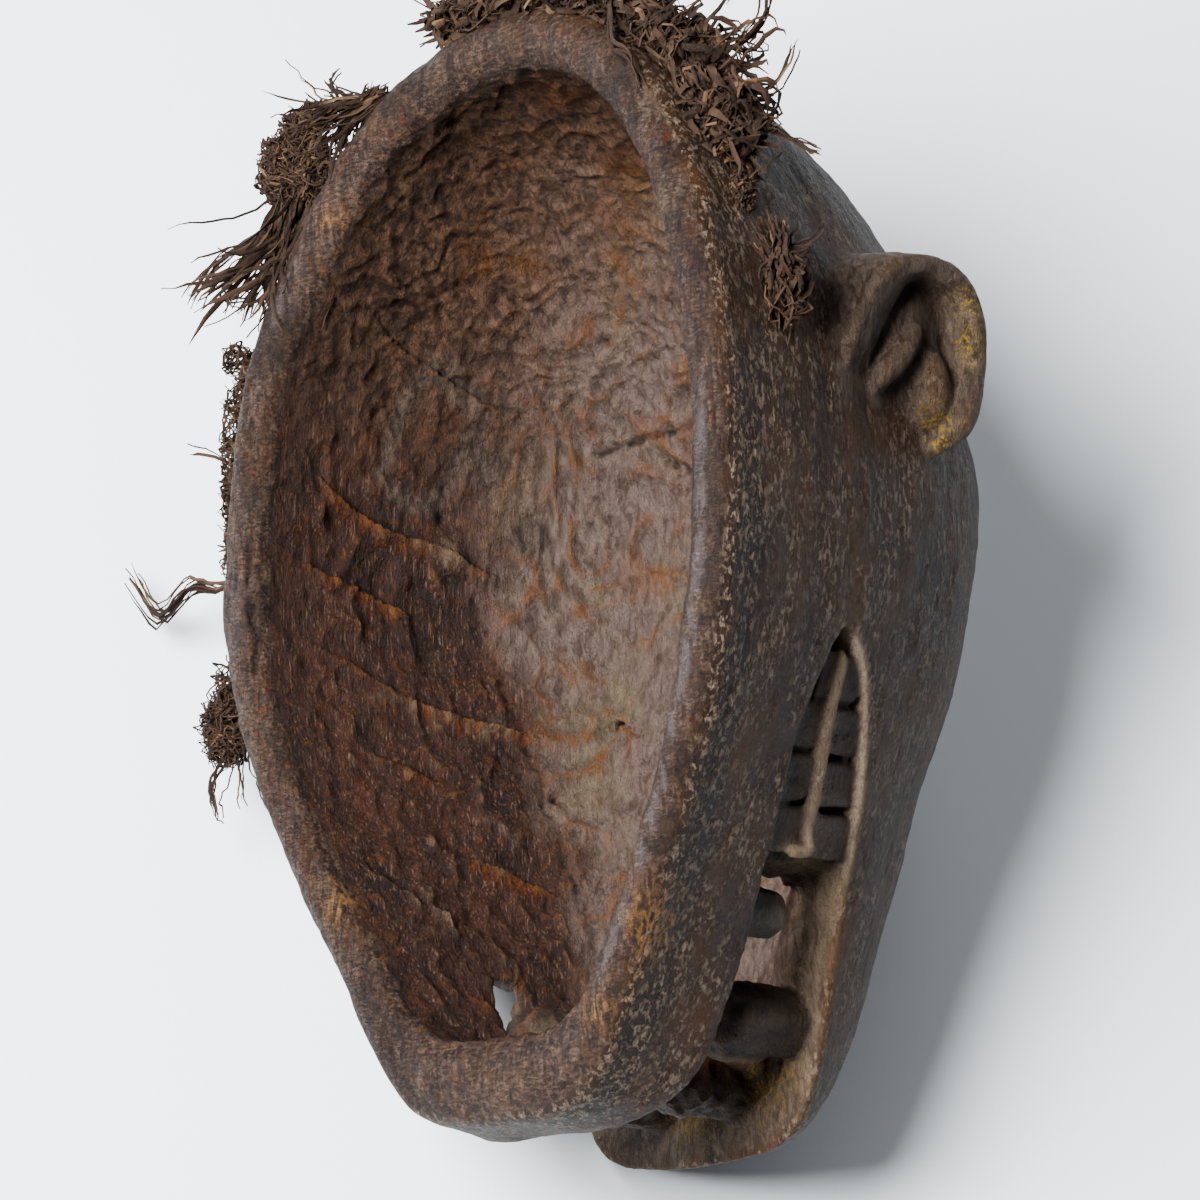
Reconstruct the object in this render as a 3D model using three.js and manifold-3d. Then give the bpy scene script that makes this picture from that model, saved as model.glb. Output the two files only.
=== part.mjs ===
// A hyena mask carved from one block of wood and hollowed for the wearer, with the
// remains of a bast fringe tied round its rim. It lies on its face, rolled to its left.
//
// The carver's frame, in millimetres: x runs to the mask's own right, y up to the crown
// and z back to the wearer. The rim lies near z = 0 and the face looks along -z.
import * as THREE from 'three';
import { mergeVertices } from 'three/addons/utils/BufferGeometryUtils.js';
import Module from 'manifold-3d';

// Outside of the block, station by station from the crown (90) down to the chin (-90).
// rimX, rimY: the rim's outline. rimZ: how far back the rim stands there.
// faceY, faceDepth: the face's profile on its centre line.
// faceX: half width that the side walls taper to. square: 2 is round, 5 nearly a box.
const OUTSIDE = [
  { lat: 90, rimX: 0, rimY: 176, rimZ: -6, faceY: 176, faceDepth: 6, faceX: 0, square: 2.3 },
  { lat: 70, rimX: 46, rimY: 162, rimZ: -2, faceY: 168, faceDepth: 50, faceX: 42, square: 2.4 },
  { lat: 50, rimX: 78, rimY: 130, rimZ: 3, faceY: 142, faceDepth: 94, faceX: 70, square: 2.7 },
  { lat: 30, rimX: 101, rimY: 82, rimZ: 9, faceY: 98, faceDepth: 129, faceX: 88, square: 3.2 },
  { lat: 10, rimX: 110, rimY: 20, rimZ: 11, faceY: 40, faceDepth: 152, faceX: 93, square: 3.8 },
  { lat: -10, rimX: 104, rimY: -34, rimZ: 11, faceY: -15, faceDepth: 149, faceX: 86, square: 3.8 },
  { lat: -28, rimX: 85, rimY: -80, rimZ: 7, faceY: -64, faceDepth: 134, faceX: 75, square: 3.8 },
  { lat: -44, rimX: 64, rimY: -118, rimZ: 4, faceY: -110, faceDepth: 121, faceX: 64, square: 3.9 },
  { lat: -56, rimX: 49, rimY: -146, rimZ: 2, faceY: -147, faceDepth: 107, faceX: 58, square: 4.0 },
  { lat: -66, rimX: 36, rimY: -159, rimZ: 1, faceY: -166, faceDepth: 91, faceX: 52, square: 4.0 },
  { lat: -77, rimX: 20, rimY: -164, rimZ: 1, faceY: -174, faceDepth: 66, faceX: 38, square: 3.8 },
  { lat: -90, rimX: 0, rimY: -165, rimZ: 1, faceY: -165, faceDepth: -1, faceX: 0, square: 3.8 },
];

// The hollow, in the same terms. Its floor is the back of the thick face.
const HOLLOW = [
  { lat: 90, rimX: 0, rimY: 159, rimZ: -6, faceY: 159, faceDepth: 6, faceX: 0, square: 2.2 },
  { lat: 70, rimX: 37, rimY: 147, rimZ: -2, faceY: 152, faceDepth: 38, faceX: 35, square: 2.3 },
  { lat: 50, rimX: 65, rimY: 118, rimZ: 3, faceY: 128, faceDepth: 74, faceX: 61, square: 2.5 },
  { lat: 30, rimX: 86, rimY: 74, rimZ: 9, faceY: 88, faceDepth: 102, faceX: 79, square: 2.8 },
  { lat: 10, rimX: 94, rimY: 18, rimZ: 11, faceY: 34, faceDepth: 119, faceX: 86, square: 3.1 },
  { lat: -10, rimX: 88, rimY: -32, rimZ: 11, faceY: -18, faceDepth: 114, faceX: 77, square: 3.2 },
  { lat: -28, rimX: 71, rimY: -74, rimZ: 7, faceY: -62, faceDepth: 102, faceX: 60, square: 3.6 },
  { lat: -44, rimX: 51, rimY: -108, rimZ: 4, faceY: -104, faceDepth: 93, faceX: 46, square: 3.8 },
  { lat: -56, rimX: 37, rimY: -128, rimZ: 2, faceY: -134, faceDepth: 84, faceX: 38, square: 3.8 },
  { lat: -66, rimX: 27, rimY: -135, rimZ: 1, faceY: -147, faceDepth: 68, faceX: 32, square: 3.6 },
  { lat: -77, rimX: 15, rimY: -139, rimZ: 1, faceY: -148, faceDepth: 42, faceX: 19, square: 3.4 },
  { lat: -90, rimX: 0, rimY: -140, rimZ: 1, faceY: -140, faceDepth: -1, faceX: 0, square: 3.4 },
];

const RIM_CREST = 7; // how far the rounded rim stands back from the walls' ends
const AROUND = 54; // steps round the shell
const OUTSIDE_RINGS = 15;
const RIM_RINGS = 4;
const HOLLOW_RINGS = 11;

// The mouth: a slit through both cheeks and the chin, drawn from the side as height and
// depth behind the rim plane. The jaw edge runs up from the chin, the lip edge back down.
const JAW_EDGE = [
  [-178, 0], [-170, 14], [-161, 24], [-150, 31], [-119, 36], [-86, 34], [-50, 33],
];
const MOUTH_CORNER = [-25, 44];
const LIP_EDGE = [
  [-29, 54], [-40, 62], [-60, 69], [-82, 74], [-110, 77], [-153, 79], [-190, 77],
];
const RECESS = 9.5; // beside the molars the slit is blind and this deep
const RIGHT_GAP_TOP = -89; // below these heights it goes right through
const LEFT_GAP_TOP = -115;
const LEFT_GAP_DEPTH = 48; // the left gap stops short of the lip, down to the height below
const LEFT_STOP_FOOT = -138;

// Teeth, on each side. A molar's sizes are its height, and its thickness from the cheek in.
const MOLARS = 4;
const FIRST_MOLAR_Y = -36.5;
const MOLAR_PITCH = 14.6;
const MOLAR_HEIGHT = 13.2;
const MOLAR_THICK = 10;
const MOLAR_SET_BACK = 2.6; // from the cheek's surface to the molars' faces
const UPPER_SHARE = 0.6; // share of the slit that the upper molars fill
const BITE_GAP = 1.6;
const CANINE = { x: 39, y: -133, radius: 10.5, from: 42, to: 86 };
const INCISOR = { x: 16, y: -151, radius: 9, from: 46, to: 86 };
const LOWER_CANINE = { x: 58, y: -104, radius: 7.5, from: 28, to: 57 };

// Ears: a C-shaped wall round a cup, open to the lower back, with a ridge and a lobe in it.
// The wall's edge stands further out at the front than at the back.
const EAR = { y: 62, depth: 68, halfHigh: 31.5, halfDeep: 25, wall: 9, from: 84, to: 112 };
const EAR_FLARE = 0.2;
const EAR_OPEN_FROM = 204; // degrees, from the front over the top
const EAR_OPEN_TO = -74;
const EAR_BEVEL = 3;
const EAR_RIDGE = { y: 62, depth: 62, long: 16, wide: 5.5, tilt: 50, proud: 8 };
const EAR_LOBE = { y: 55, depth: 76, long: 18, wide: 8, tilt: 98, proud: 11 };

// The face: a long ridge down to a nose pad with nostrils, and sunken eyes under brows.
const NOSE_RIDGE = { y: -50, halfWide: 14, halfLong: 86, halfDeep: 7, tilt: -14 };
const NOSE_PAD = { y: -144, halfWide: 24, halfLong: 16, halfDeep: 6, tilt: -30 };
const NOSTRIL = { x: 10, y: -149, radius: 5 };
const EYE = { x: 52, y: -26.5, socket: 15, sink: 8, ball: 9 };
const PUPIL = 2; // radius of the hole bored through each eye
const BROW = { x: 32, y: 2, halfWide: 13, halfHigh: 6, halfDeep: 3.5 };
const ROOT = 8; // how deep a part that is joined to the outside goes into the wood

// It lies with this direction of the carver's frame up. What would rock is worn flat.
const UP = new THREE.Vector3(0.778, 0.225, 0.586).normalize();
const FLAT_SPOT = 1.2;

// Remains of the fringe: knots strung together along the rim's outside, at these places in
// the carver's frame, and strips that fan out from each knot around one way.
const CLEAR = 0.5; // air between the fringe and the wood
const TUFTS = {
  fibre_crown: [
    { at: [-14, 183, -8], size: 11, strips: 5, long: 26, way: [-0.6, 0.8, 0] },
    { at: [16, 182, -12], size: 13, strips: 5, long: 28, way: [0, 1, -0.1] },
    { at: [46, 168, -14], size: 13, strips: 6, long: 32, way: [0.6, 0.8, -0.1] },
    { at: [72, 146, -17], size: 12, strips: 6, long: 34, way: [0.9, 0.4, -0.3] },
    { at: [92, 115, -16], size: 10, strips: 6, long: 32, way: [0.9, -0.3, -0.4] },
  ],
  fibre_right_knot: [
    { at: [107, 68, -16], size: 11, strips: 6, long: 24, way: [0.6, -0.8, -0.1] },
  ],
  fibre_left_tuft: [
    { at: [-82, 144, 0], size: 15, strips: 7, long: 38, way: [-0.9, 0.4, 0.1] },
    { at: [-96, 122, 2], size: 13, strips: 8, long: 46, way: [-0.8, -0.5, 0.3] },
  ],
  fibre_left_strands: [
    { at: [-110, 74, 2], size: 9, strips: 4, long: 34, way: [-0.7, 0.4, 0.6] },
    { at: [-113, 48, 2], size: 9, strips: 4, long: 44, way: [-0.6, -0.7, 0.6] },
  ],
  fibre_left_low_tuft: [
    { at: [-111, -22, 5], size: 11, strips: 7, long: 26, way: [-0.5, -0.4, 0.8] },
  ],
};

const STICKS = 1; // overlap of a joined part with what carries it
const PAST_SIDES = 140;
const PAST_FACE = 240;
const BACK_OF_BLOCK = 30;
const wood = new THREE.MeshStandardMaterial({ color: 0x3f2a1e, roughness: 0.62, metalness: 0 });
const bast = new THREE.MeshStandardMaterial({ color: 0x4a3528, roughness: 0.9, metalness: 0 });

const wasm = await Module();
wasm.setup();

const FIELDS = ['rimX', 'rimY', 'rimZ', 'faceY', 'faceDepth', 'faceX', 'square'];

// A smooth reading of a station table at any latitude. The stations next to each end are
// repeated beyond it in mirror image, so that the surface is round where it closes.
function readerOf(stations) {
  const rows = [...stations].reverse();
  const beyond = (row, end) => ({
    ...row,
    lat: 2 * end - row.lat,
    rimX: -row.rimX,
    faceX: -row.faceX,
    faceDepth: 2 * (end > 0 ? stations[0] : stations.at(-1)).faceDepth - row.faceDepth,
  });
  rows.unshift(beyond(rows[1], -90));
  rows.push(beyond(rows.at(-2), 90));
  const values = rows.flatMap((row) => FIELDS.map((field) => row[field]));
  const curve = new THREE.CubicInterpolant(rows.map((row) => row.lat), values, FIELDS.length);
  return (lat) => {
    const found = curve.evaluate(lat);
    return Object.fromEntries(FIELDS.map((field, i) => [field, found[i]]));
  };
}

// A point of the unit half ball (forward is 0 to 1) carried to the skin that a table gives.
function skinPoint(read, right, up, forward, grow = 0) {
  const at = read(THREE.MathUtils.radToDeg(Math.asin(THREE.MathUtils.clamp(up, -1, 1))));
  const turn = Math.atan2(Math.max(forward, 0), right);
  const across = Math.abs(Math.cos(turn)) ** (2 / at.square);
  const deep = Math.abs(Math.sin(turn)) ** (2 / at.square);
  const half = THREE.MathUtils.lerp(at.rimX, at.faceX, deep) + grow;
  const height = THREE.MathUtils.lerp(at.rimY, at.faceY, deep);
  return new THREE.Vector3(
    Math.sign(right) * across * half,
    height + grow * up,
    at.rimZ - deep * (at.faceDepth + at.rimZ + grow),
  );
}

// The profile that is spun into the shell: the outside from the face's centre out to the
// rim, over the rounded rim, and back in over the hollow to its floor's centre.
function shellProfile() {
  const steps = [];
  for (let i = 0; i <= OUTSIDE_RINGS; i += 1) {
    steps.push({ skin: 'outside', turn: (i / OUTSIDE_RINGS) * Math.PI / 2 });
  }
  for (let i = 1; i < RIM_RINGS; i += 1) {
    steps.push({ skin: 'rim', turn: (i / RIM_RINGS) * Math.PI });
  }
  for (let i = HOLLOW_RINGS; i >= 0; i -= 1) {
    steps.push({ skin: 'hollow', turn: (i / HOLLOW_RINGS) * Math.PI / 2 });
  }
  return steps;
}

function shellGeometry() {
  const outside = readerOf(OUTSIDE);
  const hollow = readerOf(HOLLOW);
  const steps = shellProfile();
  const profile = steps.map((step, j) => {
    const onAxis = j === 0 || j === steps.length - 1;
    return new THREE.Vector2(onAxis ? 0 : 1, -j);
  });
  const geometry = new THREE.LatheGeometry(profile, AROUND);
  const place = geometry.attributes.position;
  for (let n = 0; n < place.count; n += 1) {
    const i = Math.floor(n / steps.length) % AROUND;
    const step = steps[n % steps.length];
    const round = (i / AROUND) * Math.PI * 2;
    const reach = step.skin === 'rim' ? 1 : Math.sin(step.turn);
    const right = Math.cos(round) * reach;
    const up = Math.sin(round) * reach;
    const forward = step.skin === 'rim' ? 0 : Math.cos(step.turn);
    let point;
    if (step.skin === 'outside') {
      point = skinPoint(outside, right, up, forward);
    } else if (step.skin === 'hollow') {
      point = skinPoint(hollow, right, up, forward);
    } else {
      const outer = skinPoint(outside, right, up, 0);
      const inner = skinPoint(hollow, right, up, 0);
      point = outer.lerp(inner, (1 - Math.cos(step.turn)) / 2);
      point.z += RIM_CREST * Math.sin(step.turn);
    }
    place.setXYZ(n, point.x, point.y, point.z);
  }
  return geometry;
}

// Booleans
function solidOf(geometry) {
  const bare = geometry.index ? geometry.clone() : geometry;
  bare.deleteAttribute('normal');
  bare.deleteAttribute('uv');
  const merged = mergeVertices(bare, 1e-4);
  const mesh = new wasm.Mesh({
    numProp: 3,
    vertProperties: new Float32Array(merged.attributes.position.array),
    triVerts: new Uint32Array(merged.index.array),
  });
  return new wasm.Manifold(mesh);
}

function geometryOf(solid) {
  const mesh = solid.getMesh();
  const geometry = new THREE.BufferGeometry();
  geometry.setAttribute('position', new THREE.BufferAttribute(mesh.vertProperties, 3));
  geometry.setIndex(new THREE.BufferAttribute(mesh.triVerts, 1));
  geometry.computeVertexNormals();
  return geometry;
}

// The block's outside as one closed body, drawn in or swollen by an even amount.
function blockSolid(grow) {
  const outside = readerOf(OUTSIDE);
  const rings = OUTSIDE_RINGS + 3;
  const profile = [];
  for (let j = 0; j < rings; j += 1) {
    profile.push(new THREE.Vector2(j === 0 || j === rings - 1 ? 0 : 1, -j));
  }
  const geometry = new THREE.LatheGeometry(profile, AROUND);
  const place = geometry.attributes.position;
  for (let n = 0; n < place.count; n += 1) {
    const round = ((Math.floor(n / rings) % AROUND) / AROUND) * Math.PI * 2;
    const turn = (Math.min(n % rings, OUTSIDE_RINGS) / OUTSIDE_RINGS) * Math.PI / 2;
    const reach = Math.sin(turn);
    const right = Math.cos(round) * reach;
    const up = Math.sin(round) * reach;
    const point = skinPoint(outside, right, up, Math.cos(turn), grow);
    if (n % rings > OUTSIDE_RINGS) {
      point.z = BACK_OF_BLOCK;
    }
    if (n % rings === rings - 1) {
      point.set(0, 0, BACK_OF_BLOCK);
    }
    place.setXYZ(n, point.x, point.y, point.z);
  }
  return solidOf(geometry);
}

// The slit of the mouth as a prism right through from side to side.
const line = (points) => points.map(([height, depth]) => new THREE.Vector2(depth, height));
const mouthEdge = new THREE.SplineCurve(line([...JAW_EDGE, MOUTH_CORNER, ...LIP_EDGE]));

function throughSides(shape) {
  const geometry = new THREE.ExtrudeGeometry(shape, { depth: 2 * PAST_SIDES, bevelEnabled: false });
  geometry.translate(0, 0, -PAST_SIDES);
  geometry.rotateY(Math.PI / 2);
  return solidOf(geometry);
}

function boxSolid(low, high) {
  const size = new THREE.Vector3().subVectors(high, low);
  const middle = new THREE.Vector3().addVectors(low, high).multiplyScalar(0.5);
  const geometry = new THREE.BoxGeometry(size.x, size.y, size.z);
  geometry.translate(middle.x, middle.y, middle.z);
  return solidOf(geometry);
}

// Depth of the jaw edge or the lip edge at a height.
function edgeDepth(points, height) {
  const rows = [...points].sort((a, b) => a[0] - b[0]);
  const at = rows.findIndex(([y]) => y >= height);
  const [low, high] = [rows[at - 1], rows[at]];
  return THREE.MathUtils.mapLinear(height, low[0], high[0], low[1], high[1]);
}

// Where the cheek's surface stands at a height and a depth.
const plainBlock = new THREE.Mesh(shellGeometry());
plainBlock.material.side = THREE.DoubleSide;
function cheekX(height, depth) {
  const ray = new THREE.Raycaster(
    new THREE.Vector3(PAST_SIDES, height, -depth),
    new THREE.Vector3(-1, 0, 0),
  );
  return ray.intersectObject(plainBlock)[0].point.x;
}

// How far forward the face's surface stands.
function faceZ(x, y) {
  const ray = new THREE.Raycaster(new THREE.Vector3(x, y, -PAST_FACE), new THREE.Vector3(0, 0, 1));
  return ray.intersectObject(plainBlock)[0].point.z;
}

// A block with its corners worn off.
function wornBlock(size) {
  const geometry = new THREE.BoxGeometry(1, 1, 1, 2, 2, 2);
  const place = geometry.attributes.position;
  for (let n = 0; n < place.count; n += 1) {
    const point = new THREE.Vector3().fromBufferAttribute(place, n);
    const corners = [point.x, point.y, point.z].filter((v) => Math.abs(v) > 0.25).length;
    point.multiplyScalar(1 - 0.07 * (corners - 1)).multiply(size);
    place.setXYZ(n, point.x, point.y, point.z);
  }
  return geometry;
}

function molars(side) {
  const blocks = [];
  for (let i = 0; i < MOLARS; i += 1) {
    const y = FIRST_MOLAR_Y - i * MOLAR_PITCH;
    const jaw = edgeDepth([...JAW_EDGE, MOUTH_CORNER], y);
    const lip = edgeDepth([MOUTH_CORNER, ...LIP_EDGE], y);
    const bite = THREE.MathUtils.lerp(lip, jaw, UPPER_SHARE);
    const spans = [[bite, lip + STICKS], [jaw - STICKS, bite - BITE_GAP]];
    for (const [from, to] of spans) {
      const middle = (from + to) / 2;
      const x = cheekX(y, middle) - MOLAR_SET_BACK - MOLAR_THICK / 2;
      const geometry = wornBlock(new THREE.Vector3(MOLAR_THICK, MOLAR_HEIGHT, to - from));
      geometry.translate(side * x, y, -middle);
      blocks.push(solidOf(geometry));
    }
  }
  return blocks;
}

function peg(tooth, side) {
  const long = tooth.to - tooth.from;
  const geometry = new THREE.CapsuleGeometry(tooth.radius, long - 2 * tooth.radius, 2, 9);
  geometry.rotateX(Math.PI / 2);
  geometry.translate(side * tooth.x, tooth.y, -(tooth.from + tooth.to) / 2);
  return solidOf(geometry);
}

// An egg-shaped lump. The tilt turns it about the x axis.
function lump(size, middle, tilt = 0, round = 10, high = 6) {
  const geometry = new THREE.SphereGeometry(1, round, high);
  geometry.scale(size.x, size.y, size.z);
  geometry.rotateX(THREE.MathUtils.degToRad(tilt));
  geometry.translate(middle.x, middle.y, middle.z);
  return solidOf(geometry);
}

function ear() {
  const from = THREE.MathUtils.degToRad(EAR_OPEN_TO);
  const to = THREE.MathUtils.degToRad(EAR_OPEN_FROM);
  const shape = new THREE.Shape();
  const deep = EAR.halfDeep - EAR_BEVEL;
  const high = EAR.halfHigh - EAR_BEVEL;
  const wall = EAR.wall - 2 * EAR_BEVEL;
  shape.absellipse(0, 0, deep, high, from, to, false);
  shape.absellipse(0, 0, deep - wall, high - wall, to, from, true);
  shape.closePath();
  const geometry = new THREE.ExtrudeGeometry(shape, {
    depth: EAR.to - EAR.from - EAR_BEVEL,
    curveSegments: 10,
    bevelThickness: EAR_BEVEL,
    bevelSize: EAR_BEVEL,
    bevelSegments: 2,
  });
  geometry.rotateY(Math.PI / 2);
  const flare = new THREE.Matrix4().makeShear(0, 0, 0, 0, -EAR_FLARE, 0);
  geometry.applyMatrix4(flare);
  geometry.translate(EAR.from, EAR.y, -EAR.depth);
  const carved = [solidOf(geometry)];
  for (const part of [EAR_RIDGE, EAR_LOBE]) {
    const x = cheekX(part.y, part.depth);
    const size = new THREE.Vector3(part.proud, part.wide, part.long);
    carved.push(lump(size, new THREE.Vector3(x, part.y, -part.depth), part.tilt));
  }
  return carved.reduce((sum, next) => sum.add(next));
}

// The wood that the slit leaves standing: behind the molars, and beside the left gap.
function mouthCore() {
  const middle = (MOUTH_CORNER[1] + LIP_EDGE[3][1]) / 2;
  const inset = (height) => cheekX(height, middle) - RECESS;
  const edge = (top, foot) => {
    const heights = [0, 0.25, 0.5, 0.75, 1].map((part) => THREE.MathUtils.lerp(top, foot, part));
    return heights.map((height) => new THREE.Vector2(inset(height), height));
  };
  const top = MOUTH_CORNER[0] + RECESS;
  const left = edge(top, LEFT_GAP_TOP).map(({ x, y }) => new THREE.Vector2(-x, y));
  const outline = new THREE.Shape([...edge(top, RIGHT_GAP_TOP), ...left.reverse()]);
  const geometry = new THREE.ExtrudeGeometry(outline, { depth: PAST_FACE, bevelEnabled: false });
  geometry.translate(0, 0, -PAST_FACE);
  const stop = boxSolid(
    new THREE.Vector3(-inset(LEFT_STOP_FOOT), LEFT_STOP_FOOT, -PAST_FACE),
    new THREE.Vector3(-STICKS, LEFT_GAP_TOP + STICKS, -LEFT_GAP_DEPTH),
  );
  return solidOf(geometry).add(stop);
}

let body = solidOf(shellGeometry());
body = body.subtract(throughSides(new THREE.Shape(mouthEdge.getPoints(28))).subtract(mouthCore()));

const rightEar = ear().subtract(blockSolid(-ROOT));
body = body.add(rightEar).add(rightEar.mirror([1, 0, 0]));

for (const part of [NOSE_RIDGE, NOSE_PAD]) {
  const size = new THREE.Vector3(part.halfWide, part.halfLong, part.halfDeep);
  body = body.add(lump(size, new THREE.Vector3(0, part.y, faceZ(0, part.y)), part.tilt));
}
const eyeZ = faceZ(EYE.x, EYE.y);
const nostrilZ = faceZ(NOSTRIL.x, NOSTRIL.y) - NOSE_PAD.halfDeep;
for (const side of [1, -1]) {
  const eye = new THREE.Vector3(side * EYE.x, EYE.y, eyeZ);
  const brow = new THREE.Vector3(side * BROW.x, BROW.y, faceZ(BROW.x, BROW.y));
  body = body.add(lump(new THREE.Vector3(BROW.halfWide, BROW.halfHigh, BROW.halfDeep), brow));
  body = body.subtract(lump(new THREE.Vector3(EYE.socket, EYE.socket, EYE.sink), eye));
  eye.z += EYE.sink;
  body = body.add(lump(new THREE.Vector3(EYE.ball, EYE.ball, EYE.sink), eye));
  const nostril = new THREE.Vector3(side * NOSTRIL.x, NOSTRIL.y, nostrilZ);
  body = body.subtract(lump(new THREE.Vector3().setScalar(NOSTRIL.radius), nostril, 0, 8, 6));
  const bore = new THREE.CylinderGeometry(PUPIL, PUPIL, PAST_FACE, 8);
  bore.rotateX(Math.PI / 2);
  bore.translate(eye.x, eye.y, -PAST_FACE / 2);
  body = body.subtract(solidOf(bore));
  for (const block of molars(side)) {
    body = body.add(block);
  }
  for (const tooth of [CANINE, INCISOR, LOWER_CANINE]) {
    body = body.add(peg(tooth, side));
  }
}

function strip(from, way, long) {
  const geometry = new THREE.ConeGeometry(2.6, long, 4);
  geometry.scale(1, 1, 0.5);
  geometry.translate(0, long / 2, 0);
  const turn = new THREE.Quaternion().setFromUnitVectors(new THREE.Vector3(0, 1, 0), way);
  geometry.applyQuaternion(turn);
  geometry.translate(from.x, from.y, from.z);
  return solidOf(geometry);
}

function tuft(knots) {
  const spot = new THREE.Spherical();
  const lumps = knots.map(({ at, size }) => {
    const round = new THREE.Vector3(0.6, 1, 0.6).multiplyScalar(size);
    return lump(round, new THREE.Vector3(...at), 20, 8, 5);
  });
  const parts = lumps.map((one, i) => wasm.Manifold.hull([one, lumps[i + 1] ?? one]));
  for (const knot of knots) {
    const from = new THREE.Vector3(...knot.at);
    for (let i = 0; i < knot.strips; i += 1) {
      spot.set(0.7 * Math.sqrt((i + 0.5) / knot.strips), Math.PI / 2, 2.4 * i);
      const way = new THREE.Vector3(...knot.way).normalize();
      way.add(new THREE.Vector3().setFromSpherical(spot)).normalize();
      parts.push(strip(from, way, knot.long * (0.85 + 0.15 * Math.sin(5 * i))));
    }
  }
  const whole = parts.reduce((sum, next) => sum.add(next)).subtract(blockSolid(CLEAR));
  return whole.decompose().sort((a, b) => b.volume() - a.volume())[0];
}

// From the carver's frame to how it lies: up is +z and the crown points to +y.
const crownward = new THREE.Vector3(0, 1, 0).projectOnPlane(UP).normalize();
const sideways = new THREE.Vector3().crossVectors(crownward, UP);
const lying = new THREE.Matrix4().makeBasis(sideways, crownward, UP).invert();
const underside = body.transform(lying.toArray()).boundingBox().min[2];
body = body.trimByPlane(UP.toArray(), underside + FLAT_SPOT);
const nodes = { mask_body: [body, wood] };
for (const [name, knots] of Object.entries(TUFTS)) {
  nodes[name] = [tuft(knots), bast];
}

const group = new THREE.Group();
for (const [name, [solid, material]] of Object.entries(nodes)) {
  const mesh = new THREE.Mesh(geometryOf(solid), material);
  mesh.name = name;
  group.add(mesh);
}

// The bottom centre of everything is the origin.
group.applyMatrix4(lying);
const box = new THREE.Box3().setFromObject(group, true);
const middle = box.getCenter(new THREE.Vector3());
group.position.set(-middle.x, -middle.y, -box.min.z);

export default group;
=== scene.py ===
# %% [markdown]
# # A hyena mask lying on its face
#
# The mask was carved from one block and hollowed out for the wearer. This scene rebuilds it
# at full detail round the CAD frame. It makes the hollow block, cuts the mouth, joins the
# teeth, ears and face to it, roughens every surface as the carver's tools and long use left
# it, and ties the remains of the bast fringe round its rim.
#
# Shapes are worked out in the carver's frame, in millimetres. There x runs to the mask's own
# right, y up to its crown and z back to the wearer. The last step lays the mask down.

# %% Tools
import math
import random

import bmesh
import bpy
import numpy as np
from mathutils import Matrix, Vector
from mathutils.bvhtree import BVHTree


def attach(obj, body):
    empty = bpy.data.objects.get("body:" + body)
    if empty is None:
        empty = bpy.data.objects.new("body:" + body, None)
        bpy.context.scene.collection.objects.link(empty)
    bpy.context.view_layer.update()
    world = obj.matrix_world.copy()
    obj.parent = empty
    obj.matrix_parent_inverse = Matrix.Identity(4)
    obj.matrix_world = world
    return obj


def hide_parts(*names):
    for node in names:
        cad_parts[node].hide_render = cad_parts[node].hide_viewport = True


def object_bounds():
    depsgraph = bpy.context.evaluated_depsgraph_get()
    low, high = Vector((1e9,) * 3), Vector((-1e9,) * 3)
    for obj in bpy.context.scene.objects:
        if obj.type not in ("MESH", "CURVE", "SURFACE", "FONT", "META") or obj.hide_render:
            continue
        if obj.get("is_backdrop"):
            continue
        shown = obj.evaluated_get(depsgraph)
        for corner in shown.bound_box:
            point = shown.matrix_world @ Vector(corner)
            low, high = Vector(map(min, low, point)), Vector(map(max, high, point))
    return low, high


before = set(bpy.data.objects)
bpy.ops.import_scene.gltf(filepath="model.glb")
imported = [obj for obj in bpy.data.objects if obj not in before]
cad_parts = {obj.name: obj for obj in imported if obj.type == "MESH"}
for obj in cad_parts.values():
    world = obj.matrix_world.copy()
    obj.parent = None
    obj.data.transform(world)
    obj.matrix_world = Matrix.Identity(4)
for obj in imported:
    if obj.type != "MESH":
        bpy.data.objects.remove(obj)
cad_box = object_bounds()
print("frame nodes:", sorted(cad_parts))

# %% [markdown]
# ## The block's shape
#
# The real block is one trunk, rounded outside and dug out from behind. It could be modelled by
# pushing a ball about by hand, but then no number could be changed later. Here each row is a
# station from the crown (90) down to the chin (-90). It gives the rim's outline, the face's
# profile, and a power that says how square the section between them is. Smooth curves through
# the stations give every place between.

# %% Stations
FIELDS = ["lat", "rimX", "rimY", "rimZ", "faceY", "faceDepth", "faceX", "square"]
OUTSIDE = [
    [90, 0, 176, -6, 176, 6, 0, 2.3],
    [70, 46, 162, -2, 168, 50, 42, 2.4],
    [50, 78, 130, 3, 142, 94, 70, 2.7],
    [30, 101, 82, 9, 98, 129, 88, 3.2],
    [10, 110, 20, 11, 40, 152, 93, 3.8],
    [-10, 104, -34, 11, -15, 149, 86, 3.8],
    [-28, 85, -80, 7, -64, 134, 75, 3.8],
    [-44, 64, -118, 4, -110, 121, 64, 3.9],
    [-56, 49, -146, 2, -147, 107, 58, 4.0],
    [-66, 36, -159, 1, -166, 91, 52, 4.0],
    [-77, 20, -164, 1, -174, 66, 38, 3.8],
    [-90, 0, -165, 1, -165, -1, 0, 3.8],
]
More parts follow.
